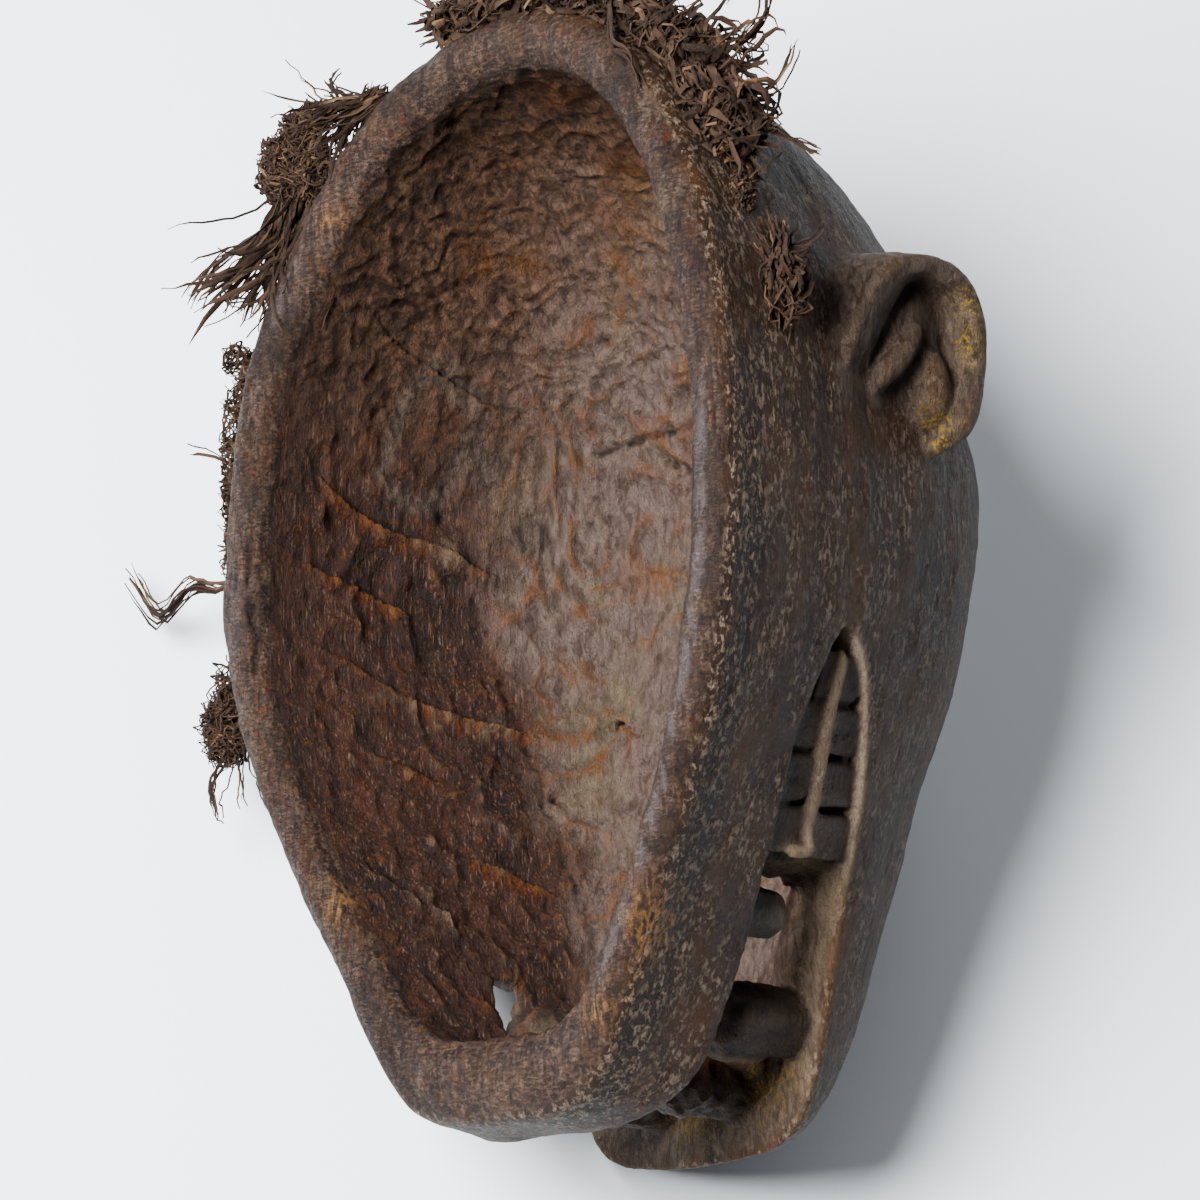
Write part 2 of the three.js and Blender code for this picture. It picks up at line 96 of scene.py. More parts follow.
HOLLOW = [
    [90, 0, 159, -6, 159, 6, 0, 2.2],
    [70, 37, 147, -2, 152, 38, 35, 2.3],
    [50, 65, 118, 3, 128, 74, 61, 2.5],
    [30, 86, 74, 9, 88, 102, 79, 2.8],
    [10, 94, 18, 11, 34, 119, 86, 3.1],
    [-10, 88, -32, 11, -18, 114, 77, 3.2],
    [-28, 71, -74, 7, -62, 102, 60, 3.6],
    [-44, 51, -108, 4, -104, 93, 46, 3.8],
    [-56, 37, -128, 2, -134, 84, 38, 3.8],
    [-66, 27, -135, 1, -147, 68, 32, 3.6],
    [-77, 15, -139, 1, -148, 42, 19, 3.4],
    [-90, 0, -140, 1, -140, -1, 0, 3.4],
]
RIM_CREST = 7  # how far the rounded rim stands back from the walls' ends
AROUND = 240
OUTSIDE_RINGS, RIM_RINGS, HOLLOW_RINGS = 90, 14, 66
RINGS = OUTSIDE_RINGS + RIM_RINGS + HOLLOW_RINGS


def reader_of(stations):
    """A smooth curve through the stations for each field, mirrored past both ends."""
    rows = np.array(sorted(stations), float)
    ends = []
    for end, near in ((rows[0], rows[1]), (rows[-1], rows[-2])):
        past = near.copy()
        past[0] = 2 * end[0] - near[0]
        past[[1, 6]] *= -1
        past[5] = 2 * end[5] - near[5]
        ends.append(past)
    rows = np.vstack([ends[0], rows, ends[1]])
    lats = rows[:, 0]

    def read(lat):
        k = np.clip(np.searchsorted(lats, lat, side="right"), 2, len(lats) - 2)
        t_before, t0, t1, t_after = (lats[k + i] for i in (-2, -1, 0, 1))
        before, v0, v1, after = (rows[k + i] for i in (-2, -1, 0, 1))
        part = (lat - t0) / (t1 - t0)
        half = (t1 - t0) * 0.5
        w_before = half / (t0 - t_before)
        w_after = half / (t_after - t1)
        cube, square = part**3, part**2
        s_before = -w_before * cube + 2 * w_before * square - w_before * part
        s0 = (1 + w_before) * cube + (-1.5 - 2 * w_before) * square
        s0 += (-0.5 + w_before) * part + 1
        s1 = (-1 - w_after) * cube + (1.5 + w_after) * square + 0.5 * part
        s_after = w_after * cube - w_after * square
        weights = (s_before, s0, s1, s_after)
        both = zip(weights, (before, v0, v1, after))
        value = sum(w[:, None] * v for w, v in both)
        return {name: value[:, i] for i, name in enumerate(FIELDS)}

    return read


def skin(read, unit):
    """Points of a skin for unit vectors of a half ball that looks forward."""
    right, up, forward = unit.T
    at = read(np.degrees(np.arcsin(np.clip(up, -1, 1))))
    turn = np.arctan2(np.maximum(forward, 0), right)
    across = np.abs(np.cos(turn)) ** (2 / at["square"])
    deep = np.abs(np.sin(turn)) ** (2 / at["square"])
    half = at["rimX"] + (at["faceX"] - at["rimX"]) * deep
    height = at["rimY"] + (at["faceY"] - at["rimY"]) * deep
    back = at["rimZ"] - deep * (at["faceDepth"] + at["rimZ"])
    return np.stack([np.sign(right) * across * half, height, back], 1)


outside_reader = reader_of(OUTSIDE)
hollow_reader = reader_of(HOLLOW)
print("outside at latitude 10:", outside_reader(np.array([10.0]))["rimX"])

# %% [markdown]
# ## Small helpers
#
# The steps below keep making a mesh, cutting one with another and moving its points. They could
# each say that in full. Short helpers read better, and they move all points at once with
# arrays, because a loop over half a million points is slow.

# %% Helpers
MM = 0.001


def between(value, low, high):
    """0 below low, 1 above high, and smooth between them."""
    part = np.clip((value - low) / (high - low), 0, 1)
    return part * part * (3 - 2 * part)


def points_of(mesh):
    """All its points as rows of x, y and z."""
    flat = np.empty(len(mesh.vertices) * 3)
    mesh.vertices.foreach_get("co", flat)
    return flat.reshape(-1, 3)


def normals_of(mesh):
    """The way that the surface faces at each point."""
    flat = np.empty(len(mesh.vertices) * 3)
    mesh.vertices.foreach_get("normal", flat)
    return flat.reshape(-1, 3)


def set_points(mesh, points):
    """Moves all its points to new places."""
    mesh.vertices.foreach_set("co", np.ascontiguousarray(points, float).ravel())
    mesh.update()


def made(name, bm):
    """A new object of a mesh that is being built, with its faces looking outwards."""
    bmesh.ops.recalc_face_normals(bm, faces=bm.faces)
    mesh = bpy.data.meshes.new(name)
    bm.to_mesh(mesh)
    bm.free()
    item = bpy.data.objects.new(name, mesh)
    bpy.context.scene.collection.objects.link(item)
    return item


def applied(item):
    """Its modifiers become its mesh."""
    graph = bpy.context.evaluated_depsgraph_get()
    mesh = bpy.data.meshes.new_from_object(item.evaluated_get(graph))
    item.modifiers.clear()
    item.data = mesh
    return item


def carve(item, other):
    """Cuts another form out of it."""
    cutting = item.modifiers.new("carve", "BOOLEAN")
    cutting.object, cutting.operation, cutting.solver = other, "DIFFERENCE", "EXACT"
    applied(item)
    bpy.data.objects.remove(other)
    return item


def joined(name, items):
    """One object of all the meshes, which may overlap."""
    bm = bmesh.new()
    for item in items:
        bm.from_mesh(item.data)
        bpy.data.objects.remove(item)
    return made(name, bm)


def tree_of(items):
    """A search tree over the meshes of some objects."""
    bm = bmesh.new()
    for item in items:
        bm.from_mesh(item.data)
    tree = BVHTree.FromBMesh(bm)
    bm.free()
    return tree


def tube(bm, rings):
    """Faces between rings of points, and one over each end."""
    for one, two in zip(rings, rings[1:]):
        for k in range(len(one)):
            bm.faces.new((one[k - 1], one[k], two[k], two[k - 1]))
    bm.faces.new(rings[0])
    bm.faces.new(rings[-1][::-1])


print("halfway between:", between(np.array([0.5]), 0, 1))

# %% [markdown]
# ## The hollow block
#
# The real wall is one closed skin: the outside, the rounded rim and the hollow. A shell with a
# thickness added would give an even wall, and the carver's wall isn't even. So a ball's rings
# are laid over the outside, round the rim and down the hollow, each after its own stations.

# %% Block
def rings_at(ring, sweep):
    """Points of the whole skin: over the outside, round the rim and down the hollow."""
    past_rim = np.clip(ring - OUTSIDE_RINGS, 0, RIM_RINGS) / RIM_RINGS
    outer_turn = np.minimum(ring / OUTSIDE_RINGS, 1) * math.pi / 2
    inner_turn = np.minimum((RINGS - ring) / HOLLOW_RINGS, 1) * math.pi / 2

    def unit(turn):
        reach = np.sin(turn)
        return np.stack([np.cos(sweep) * reach, np.sin(sweep) * reach, np.cos(turn)], 1)

    outer = skin(outside_reader, unit(outer_turn))
    inner = skin(hollow_reader, unit(inner_turn))
    across = ((1 - np.cos(past_rim * math.pi)) / 2)[:, None]
    place = outer * (1 - across) + inner * across
    place[:, 2] += RIM_CREST * np.sin(past_rim * math.pi)
    return place


def shell():
    """The block's closed skin, made from a ball whose rings are moved to their places."""
    bm = bmesh.new()
    bmesh.ops.create_uvsphere(bm, u_segments=AROUND, v_segments=RINGS, radius=1)
    item = made("block", bm)
    ball = points_of(item.data)
    ring = np.rint(np.arccos(np.clip(ball[:, 2], -1, 1)) / math.pi * RINGS)
    set_points(item.data, rings_at(ring, np.arctan2(ball[:, 1], ball[:, 0])))
    bm = bmesh.new()
    bm.from_mesh(item.data)
    bmesh.ops.remove_doubles(bm, verts=bm.verts, dist=1e-4)
    bpy.data.objects.remove(item)
    return made("block", bm)


OFF_SIDE, OFF_FRONT = 200, 300  # places that are clear of the block, where rays start
mask = shell()
block_tree = tree_of([mask])


def cheek_x(height, depth):
    """Where the right cheek's surface stands."""
    start = Vector((OFF_SIDE, height, -depth))
    return block_tree.ray_cast(start, Vector((-1, 0, 0)))[0].x


def face_z(x, y):
    """How far forward the face's surface stands."""
    return block_tree.ray_cast(Vector((x, y, -OFF_FRONT)), Vector((0, 0, 1)))[0].z


print("block points:", len(mask.data.vertices))
print("cheek at y -60, depth 50:", round(cheek_x(-60, 50), 1))


# %% [markdown]
# ## The mouth
#
# The slit runs through both cheeks and round the chin. Beside the molars it is blind, and a
# core of wood stays standing there. Further down it opens into the hollow. It could be cut
# tooth by tooth. One outline pushed through sideways, with the core taken off it first, cuts
# both cheeks in one go, as the carver's saw would. More of the core stands on the left, where
# the photograph shows the smaller gap.

# %% Mouth
JAW_EDGE = [(-178, 0), (-170, 14), (-161, 24), (-150, 31), (-119, 36), (-86, 34), (-50, 33)]
MOUTH_CORNER = (-25, 44)
LIP_EDGE = [(-29, 54), (-40, 62), (-60, 69), (-82, 74), (-110, 77), (-153, 79), (-190, 77)]
MOUTH_MIDDLE = 59
RECESS = 9.5
RIGHT_GAP_TOP, LEFT_GAP_TOP = -89, -115
LEFT_GAP_DEPTH, LEFT_STOP_FOOT = 48, -138
CUT_WIDE, CUT_DEEP = 140, 240  # how far cutting forms reach, well clear of the block


def smooth_line(points, count):
    """Evenly timed points of a smooth curve through the given ones."""
    points = np.array(points, float)
    at = np.linspace(0, len(points) - 1, count)
    k = np.minimum(at.astype(int), len(points) - 2)
    t = (at - k)[:, None]
    p0, p1, p2, p3 = (points[np.clip(k + i, 0, len(points) - 1)] for i in (-1, 0, 1, 2))
    bend = 2 * p0 - 5 * p1 + 4 * p2 - p3
    twist = 3 * p1 - p0 - 3 * p2 + p3
    return p1 + 0.5 * t * (p2 - p0 + t * (bend + t * twist))


def prism(name, outline, ends, place):
    """An outline drawn out from one end to the other."""
    bm = bmesh.new()
    low, high = ([bm.verts.new(place(u, v, end)) for u, v in outline] for end in ends)
    bm.faces.new(low)
    bm.faces.new(high[::-1])
    for i in range(len(low)):
        bm.faces.new((low[i - 1], low[i], high[i], high[i - 1]))
    return made(name, bm)


def core_edge(side, top, foot):
    """The outline of the wood left standing, a little inside the cheek."""
    heights = np.linspace(top, foot, 12)
    return [(side * (cheek_x(y, MOUTH_MIDDLE) - RECESS), y) for y in heights]


print("cheek beside the mouth's corner, mm:", round(cheek_x(*MOUTH_CORNER), 1))

# %% Slit
mouth_edge = smooth_line([*JAW_EDGE, MOUTH_CORNER, *LIP_EDGE], 140)
slit = prism("slit", mouth_edge, (-CUT_WIDE, CUT_WIDE), lambda high, deep, x: (x, high, -deep))
core_top = MOUTH_CORNER[0] + RECESS
outline = core_edge(1, core_top, RIGHT_GAP_TOP) + core_edge(-1, core_top, LEFT_GAP_TOP)[::-1]
slit = carve(slit, prism("core", outline, (-CUT_DEEP, 0), lambda x, y, z: (x, y, z)))
stop_x = -(cheek_x(LEFT_STOP_FOOT, MOUTH_MIDDLE) - RECESS)
stop_low, stop_high = LEFT_STOP_FOOT, LEFT_GAP_TOP + 1
outline = [(stop_x, stop_low), (-1, stop_low), (-1, stop_high), (stop_x, stop_high)]
ends = (-CUT_DEEP, -LEFT_GAP_DEPTH)
slit = carve(slit, prism("stop", outline, ends, lambda x, y, z: (x, y, z)))
print("slit:", len(slit.data.vertices), "points")

# %% [markdown]
# ## Eyes and nostrils
#
# The face lies hidden underneath, so it is kept plain: round sockets, an eyeball with a bored
# pupil in each, and two nostrils in the nose pad. Eggs and a drill are enough for that, and
# they follow the face wherever it is, because a ray finds its surface.

# %% Eggs and drills
EYE_AT, EYE_SOCKET, EYE_SINK, EYE_BALL, PUPIL = (52, -26.5), 15, 8, 9, 2
NOSTRIL_AT, NOSTRIL_SIZE, PAD_DEEP = (10, -149), (5, 6, 8), 6


def lump(name, size, middle, tilt=0.0, turn=0.0):
    """An egg-shaped form."""
    bm = bmesh.new()
    bmesh.ops.create_uvsphere(bm, u_segments=40, v_segments=24, radius=1)
    item = made(name, bm)
    lean = Matrix.Rotation(math.radians(tilt), 4, "X") @ Matrix.Rotation(math.radians(turn), 4, "Y")
    item.data.transform(Matrix.Translation(middle) @ lean @ Matrix.Diagonal((*size, 1)))
    return item


def bore(middle, radius):
    """A drill that goes through the face."""
    bm = bmesh.new()
    bmesh.ops.create_cone(
        bm, cap_ends=True, segments=24, radius1=radius, radius2=radius, depth=CUT_DEEP
    )
    item = made("bore", bm)
    item.data.transform(Matrix.Translation((middle[0], middle[1], -CUT_DEEP / 2)))
    return item


print("face at an eye, mm:", round(face_z(*EYE_AT), 1))

# %% Sunken parts
cutters, raised, nostrils = [slit], [], []
for side in (1, -1):
    x, y = side * EYE_AT[0], EYE_AT[1]
    eye = (x, y, face_z(*EYE_AT))
    sunk = (x, y, eye[2] + EYE_SINK)
    cutters.append(lump("socket", (EYE_SOCKET, EYE_SOCKET, EYE_SINK), eye))
    cutters.append(bore(eye, PUPIL))
    ball = lump("eyeball", (EYE_BALL, EYE_BALL, EYE_SINK), sunk)
    raised.append(carve(ball, bore(eye, PUPIL)))
    x, y = side * NOSTRIL_AT[0], NOSTRIL_AT[1]
    nostril = (x, y, face_z(*NOSTRIL_AT) - PAD_DEEP)
    nostrils.append(lump("nostril", NOSTRIL_SIZE, nostril))
for cutter in cutters:
    mask = carve(mask, cutter)
print("block after the cuts:", len(mask.data.vertices))

# %% [markdown]
# ## Teeth
#
# Four worn molars stand in each row, with a rounded biting edge between the rows. Towards the
# chin there are two big stumps from above and one from below. They could be cut out of the
# block. Rounded blocks and stumps set into the slit are simpler, and the later melting makes
# them one with the wood. Each block is turned along the cheek, or the row would be stepped.

# %% Teeth
MOLARS, FIRST_MOLAR_Y, MOLAR_PITCH = 4, -36.5, 14.6
MOLAR_HEIGHT, MOLAR_THICK, MOLAR_SET_BACK = 13.9, 10, 2.6
UPPER_SHARE, BITE_GAP = 0.6, 1.6
EDGE_ROUND, SWAY = 0.13, 0.02
# Each stump's place across and up, its radius, and how deep its two ends are.
STUMPS = [(39, -133, 10.5, 42, 86), (16, -151, 9, 46, 86), (58, -104, 7.5, 28, 57)]


def edge_depth(points, height):
    """How deep an edge of the mouth is at some height."""
    rows = sorted(points)
    return float(np.interp(height, [row[0] for row in rows], [row[1] for row in rows]))


def worn_block(name, size, middle, slope, seed):
    """A block with rounded edges, a little uneven, turned to lie along the cheek's slope."""
    bm = bmesh.new()
    bmesh.ops.create_cube(bm, size=1)
    bmesh.ops.scale(bm, vec=size, verts=bm.verts)
    bmesh.ops.bevel(
        bm, geom=bm.edges, offset=EDGE_ROUND * min(size), segments=3, profile=0.6, affect="EDGES"
    )
    rng = random.Random(seed)
    lean = Matrix.Rotation(rng.uniform(-SWAY, SWAY), 4, "X")
    turn = Matrix.Rotation(-math.atan(slope[0]), 4, "Z")
    tip = Matrix.Rotation(-math.atan(slope[1]), 4, "Y")
    grow = Matrix.Diagonal([rng.uniform(0.97, 1.01) for _ in range(3)] + [1])
    item = made(name, bm)
    item.data.transform(Matrix.Translation(middle) @ turn @ tip @ lean @ grow)
    return item


def cheek_slope(height, depth, up=7, deep=5):
    """How fast the right cheek widens with height and with depth."""
    by_height = (cheek_x(height + up, depth) - cheek_x(height - up, depth)) / (2 * up)
    by_depth = (cheek_x(height, depth + deep) - cheek_x(height, depth - deep)) / (2 * deep)
    return by_height, by_depth


def stump(name, tooth, side, seed):
    """A stump with a domed end, its sides a little facetted by the knife."""
    x, y, radius, low, high = tooth
    rng = random.Random(seed)
    bm = bmesh.new()
    bmesh.ops.create_uvsphere(bm, u_segments=48, v_segments=32, radius=radius)
    for v in bm.verts:
        angle = math.atan2(v.co.y, v.co.x)
        facet = 1 + 0.035 * math.cos(5 * angle + seed) + 0.02 * math.cos(9 * angle)
        v.co.x *= facet
        v.co.y *= facet
        v.co.z += math.copysign((high - low) / 2 - radius, v.co.z)
    item = made(name, bm)
    tip = Matrix.Rotation(rng.uniform(-0.05, 0.05), 4, "Y")
    item.data.transform(Matrix.Translation((side * x, y, -(low + high) / 2)) @ tip)
    return item


def roll_along(name, path, radius):
    """A rounded strip along a path, with its ends drawn in."""
    bm = bmesh.new()
    ways = np.gradient(path, axis=0)
    rings = []
    for i, (at, way) in enumerate(zip(path, ways)):
        thick = radius * min(1, 0.4 + 0.2 * i, 0.4 + 0.2 * (len(path) - 1 - i))
        side = Vector(way).cross(Vector((1, 0, 0))).normalized()
        up = side.cross(Vector(way)).normalized()
        turns = [2 * math.pi * k / 12 for k in range(12)]
        ring = [Vector(at) + thick * (side * math.cos(t) + up * math.sin(t)) for t in turns]
        rings.append([bm.verts.new(point) for point in ring])
    tube(bm, rings)
    return made(name, bm)


print("lip's depth at the first molar, mm:", round(edge_depth(LIP_EDGE, FIRST_MOLAR_Y), 1))

# %% Set the teeth
BITE_RADIUS, BITE_PROUD = 1.9, 2.4
teeth, bites = [], []
for side in (1, -1):
    bite_line = []
    for i in range(MOLARS):
        y = FIRST_MOLAR_Y - i * MOLAR_PITCH
        jaw = edge_depth([*JAW_EDGE, MOUTH_CORNER], y)
        lip = edge_depth([MOUTH_CORNER, *LIP_EDGE], y)
        bite = lip + (jaw - lip) * UPPER_SHARE
        for part, (low, high) in enumerate([(bite, lip + 1), (jaw - 1, bite - BITE_GAP)]):
            middle = (low + high) / 2
            x = cheek_x(y, middle) - MOLAR_SET_BACK - MOLAR_THICK / 2
            size = (MOLAR_THICK, MOLAR_HEIGHT, high - low)
            slope = [side * amount for amount in cheek_slope(y, middle)]
            place = (side * x, y, -middle)
            teeth.append(worn_block("molar", size, place, slope, i + 10 * part))
        x = cheek_x(y, bite) - MOLAR_SET_BACK - BITE_RADIUS + BITE_PROUD
        bite_line.append((side * x, y, -bite - BITE_RADIUS * 0.6))
    first, last = bite_line[0], bite_line[-1]
    bite_line.insert(0, (first[0], first[1] + MOLAR_HEIGHT / 2, first[2]))
    foot = last[1] - MOLAR_HEIGHT / 2
    bite_line.append((last[0], foot, last[2]))
    bite_line.append((last[0] - side * 1.5, foot - 1.2, last[2] + 7))
    bites.append(smooth_line(bite_line, 50))
    teeth.append(roll_along("biting edge", bites[-1], BITE_RADIUS))
    for i, tooth in enumerate(STUMPS):
        teeth.append(stump("stump", tooth, side, i))
tooth_tree = tree_of(teeth)
print("teeth:", len(teeth))

# %% [markdown]
# ## Ears
#
# Each ear is a thick roll bent to a C round a cup, open to the lower back. A ridge and a
# drop-shaped lobe stand in the cup. A bent disc would miss the sharp crest of the back limb.
# So a section is swept along the C, and it changes from a slab to a roll on the way. What
# would reach through the wall into the hollow is drawn back up.

# %% Ears
EAR_LINE = [
    (44, 44, 101), (55, 46.5, 104.5), (64, 50, 106.5), (74, 54.5, 108), (82, 60.5, 109.5),
    (86.5, 68, 110.5), (87.5, 77, 111.5), (84.5, 85.5, 112.5), (78.5, 90.5, 113),
    (70, 92.5, 113), (60, 93, 112.5), (50, 92, 111.5), (40.5, 89, 109), (33.5, 83, 102),
]
EAR_ROLL = [
    (5, -34), (4.6, -6), (3.4, -1.4), (0.6, 0), (-2.2, -0.8), (-3.8, -4), (-4.4, -10), (-5, -34),
]
EAR_SLAB = [
    (17, -34), (12, -11), (7.4, -4), (4, 0), (-1, -1.6), (-8, -4.4), (-9.6, -8.5), (-10, -34),
]
EAR_MIDDLE = (62, 70)


def ear_roll():
    """The C's wall. Its back limb has a sharp crest, a bevel inside and a slope outside."""
    bm = bmesh.new()
    line = smooth_line(EAR_LINE, 70)
    ways = np.gradient(line, axis=0)
    rings = []
    for i, ((y, deep, top), way) in enumerate(zip(line, ways)):
        out = np.array([-way[1], way[0]]) / np.hypot(way[0], way[1])
        out *= math.copysign(1, out @ (y - EAR_MIDDLE[0], deep - EAR_MIDDLE[1]))
        back = 1 - between(i / len(line), 0.22, 0.42)
        end = min(1, 0.45 + 0.2 * i, 0.5 + 0.12 * (len(line) - 1 - i))
        ring = []
        for (reach, x), (slab_reach, slab_x) in zip(EAR_ROLL, EAR_SLAB):
            reach = (reach + back * (slab_reach - reach)) * end
            x = top + x + back * (slab_x - x)
            ring.append(bm.verts.new((x, y + out[0] * reach, -deep - out[1] * reach)))
        rings.append(ring)
    tube(bm, rings)
    return made("ear roll", bm)


def right_ear():
    """The roll, what closes the cup behind, and the ridge and lobe that stand in it."""
    return [
        ear_roll(),
        lump("ear floor", (13, 25, 20), (90, 68, -76)),
        lump("ear ridge", (8, 5.2, 18), (98.5, 60, -67), 47),
        lump("ear lobe", (10, 8.6, 14), (97, 53, -82), 96),
    ]


def mirrored(item):
    """The same form on the other side."""
    bm = bmesh.new()
    bm.from_mesh(item.data)
    bmesh.ops.scale(bm, vec=(-1, 1, 1), verts=bm.verts)
    bmesh.ops.reverse_faces(bm, faces=bm.faces)
    return made(item.name, bm)


print("ear's line, places:", len(EAR_LINE))

# %% Set the ears
cup = lump("ear cup", (6.5, 21, 10), (104, 65, -64), -28)
for cutter in (cup, mirrored(cup)):
    mask = carve(mask, cutter)
ears = right_ear()
ears += [mirrored(item) for item in ears]
ear_tree = tree_of(ears)
print("ear forms:", len(ears))

# %% [markdown]
# ## Nose and brows
#
# A long low ridge runs down the face to a nose pad, and a brow lies over each eye. They are
# worn soft, so flattened eggs half sunk in the face serve better than sharp-edged forms.

# %% Face
raised += [
    lump("nose ridge", (14, 86, 7), (0, -50, face_z(0, -50)), -14),
    lump("nose pad", (24, 16, 6), (0, -144, face_z(0, -144)), -30),
]
BROW_AT, BROW_SIZE = (32, 2), (14, 6, 4)
BROW_TURN = math.degrees(math.atan2(face_z(44, 2) - face_z(20, 2), 24))
for side in (1, -1):
    brow = (side * BROW_AT[0], BROW_AT[1], face_z(*BROW_AT) + 0.5)
    raised.append(lump("brow", BROW_SIZE, brow, 0, -BROW_TURN * side))
print("raised forms:", len(raised))

# %% [markdown]
# ## One piece of wood
#
# The mask is one piece, so no seam may show where a tooth or an ear meets the block. Exact
# unions would leave knife-sharp joints. All overlapping forms are melted into one skin on a
# fine grid instead, which rounds each joint a little, and the grid's steps are smoothed away.
# The nostrils come after the nose pad that they are sunk in.

# %% Melt
GRID = 1.05
COVER = 8  # how deep under the outside a form may reach before it is trimmed


def melted(item):
    """Its overlapping forms as one skin on a fine grid."""
    melting = item.modifiers.new("melt", "REMESH")
    melting.mode, melting.voxel_size, melting.adaptivity = "VOXEL", GRID, 0.0
    return applied(item)


def trimmed(item):
    """Points of a form that reach into the hollow are drawn up to just under the skin."""
    points = points_of(item.data)
    for n, point in enumerate(points):
        side = math.copysign(1, point[0])
        start = Vector((side * OFF_SIDE, point[1], point[2]))
        hit = block_tree.ray_cast(start, Vector((-side, 0, 0)))[0]
        if hit:
            points[n, 0] = side * max(abs(point[0]), abs(hit.x) - COVER)
    set_points(item.data, points)
    return item


ears = [trimmed(item) for item in ears]
print("ears trimmed:", len(ears))

# %% Join
mask = joined("mask", [mask, *teeth, *ears, *raised])
mask = melted(mask)
for nostril in nostrils:
    mask = carve(mask, nostril)
print("melted:", len(mask.data.vertices), "points")

# %% [markdown]
# ## Tool marks and wear
#
# The hollow is rough from the gouge, the outside is worn smooth, and the rim is nicked. Bump
# alone would vanish at the outline and in raking light, so the relief moves the points. It is
# worked out for every point from layered noise and from scoops. A scoop field gives shallow
# hollows that meet in ridges, as a gouge leaves them.

# %% Noise
def hashed(cells, seed):
    """A number from 0 to 1 for every whole-numbered cell."""
    x, y, z = (cells.astype(np.int64) + 4096).T
    n = x * 73856093 ^ y * 19349663 ^ z * 83492791 ^ (seed + 1) * 26544357
    n = ((n ^ (n >> 13)) * 12741261) & 0x7FFFFFFF
    return ((n ^ (n >> 9)) & 0xFFFF) / 65535


def noise(points, seed):
    """Smooth noise from -1 to 1."""
    base = np.floor(points)
    part = points - base
    part = part * part * (3 - 2 * part)
    total = np.zeros(len(points))
    for corner in np.ndindex(2, 2, 2):
        near = np.where(np.array(corner) == 1, part, 1 - part)
        total += near.prod(axis=1) * hashed(base + corner, seed)
    return total * 2 - 1


def layered(points, seed, layers=3):
    """Noise with finer and weaker noise on top of it."""
    return sum(noise(points * 2.03**i, seed + i) * 0.5**i for i in range(layers))


def scoops(points, seed):
    """The squared distance to the nearest of some scattered points, at most 1."""
    base = np.floor(points)
    nearest = np.ones(len(points))
    for step in np.ndindex(3, 3, 3):
        cell = base + step - 1
        at = np.stack([hashed(cell, seed + i) for i in range(3)], 1)
        nearest = np.minimum(nearest, ((points - cell - at) ** 2).sum(1))
    return nearest


print("noise at one place:", noise(np.array([[0.5, 0.5, 0.5]]), 1))

# %% [markdown]
# ### Which part of the mask a point belongs to
#
# The carver treated the hollow, the rim and the outside in different ways. Painting them by
# hand would break as soon as the shape changes. They are told apart by their distance to the
# plain skins, and the hollow's floor starts at a crease in its walls.

# %% Zones
# The crease between walls and floor, as heights and depths.
# There the painted colour turns from the darker walls, partly painted shade, to the paler floor.
CREASE = [(-140, 75), (-100, 78), (-65, 76), (-28, 75), (15, 69), (60, 77), (110, 76), (160, 60)]
CREASE_WANDER, CREASE_BLUR, CROWN_BLUR = 8, 9, 14
FARTHEST = 30


def skin_tree(first, last):
    """A search tree over some of the plain block's rings."""
    count = last - first + 1
    around = np.linspace(-math.pi, math.pi, AROUND, endpoint=False)
    ring = np.repeat(np.arange(first, last + 1), AROUND)
    faces = []
    for low in range(0, (count - 1) * AROUND, AROUND):
        high = low + AROUND
        for i in range(AROUND):
            j = (i + 1) % AROUND
            faces.append((low + i, low + j, high + j, high + i))
    verts = [Vector(v) for v in rings_at(ring, np.tile(around, count))]
    return BVHTree.FromPolygons(verts, faces)


LAST_OUTSIDE = OUTSIDE_RINGS + 3
PAST_RIM = OUTSIDE_RINGS + RIM_RINGS
MID_RIM = OUTSIDE_RINGS + RIM_RINGS // 2
skin_trees = [
    skin_tree(0, LAST_OUTSIDE),
    skin_tree(LAST_OUTSIDE + 1, PAST_RIM),
    skin_tree(PAST_RIM, RINGS),
]
crest_tree = skin_tree(MID_RIM, MID_RIM + 1)


def far_from(tree, points):
    """Each point's distance to a skin, as far as the search goes."""
    found = (tree.find_nearest(Vector(point), FARTHEST)[3] for point in points)
    return np.array([far or FARTHEST for far in found])


def zones_of(points):
    """Shares from 0 to 1 that say what each point is."""
    out, rim, hollow = (far_from(tree, points) for tree in skin_trees)
    tooth = far_from(tooth_tree, points)
    skin_far = np.minimum(np.minimum(out, rim), hollow)
    zone = {}
    zone["hollow"] = between(np.minimum(out, rim + 3) - hollow, -2, 3)
    zone["rim"] = 1 - between(rim, 0.5, 3.5)
    zone["crest"] = 1 - between(far_from(crest_tree, points), 0.5, 2.2)
    zone["band"] = (1 - between(rim, 15, 19)) * (1 - zone["hollow"]) * (1 - zone["rim"])
    zone["tooth"] = (1 - between(tooth, 0.7, 1.3)) * between(skin_far, 0.8, 1.8)
    zone["ear"] = 1 - between(far_from(ear_tree, points), 1.5, 4)
    zone["cut"] = between(skin_far, 1.5, 3.5) * (1 - zone["tooth"]) * (1 - zone["ear"])
    heights, depths = zip(*CREASE)
    crease = np.interp(points[:, 1], heights, depths)
    crease += CREASE_WANDER * layered(points / 24, 80, 3)
    blur = CREASE_BLUR + CROWN_BLUR * between(points[:, 1], 0, 50)
    zone["floor"] = zone["hollow"] * between((-points[:, 2] - crease) / blur, -1, 1)
    return zone


print("rings in the skin:", RINGS)

# %% [markdown]
# ### Strokes, worm holes and cracks
#
# The gouge took short chips across the walls and long strokes down them, and it left swirling
# facets on the floor. Each stroke ends in a step that catches the light. Beetles bored the wood
# and it split along its grain as it dried. Scoops stretched along the strokes give the first, a
# steep saw-toothed wave the steps, and every hole and crack has its own place.

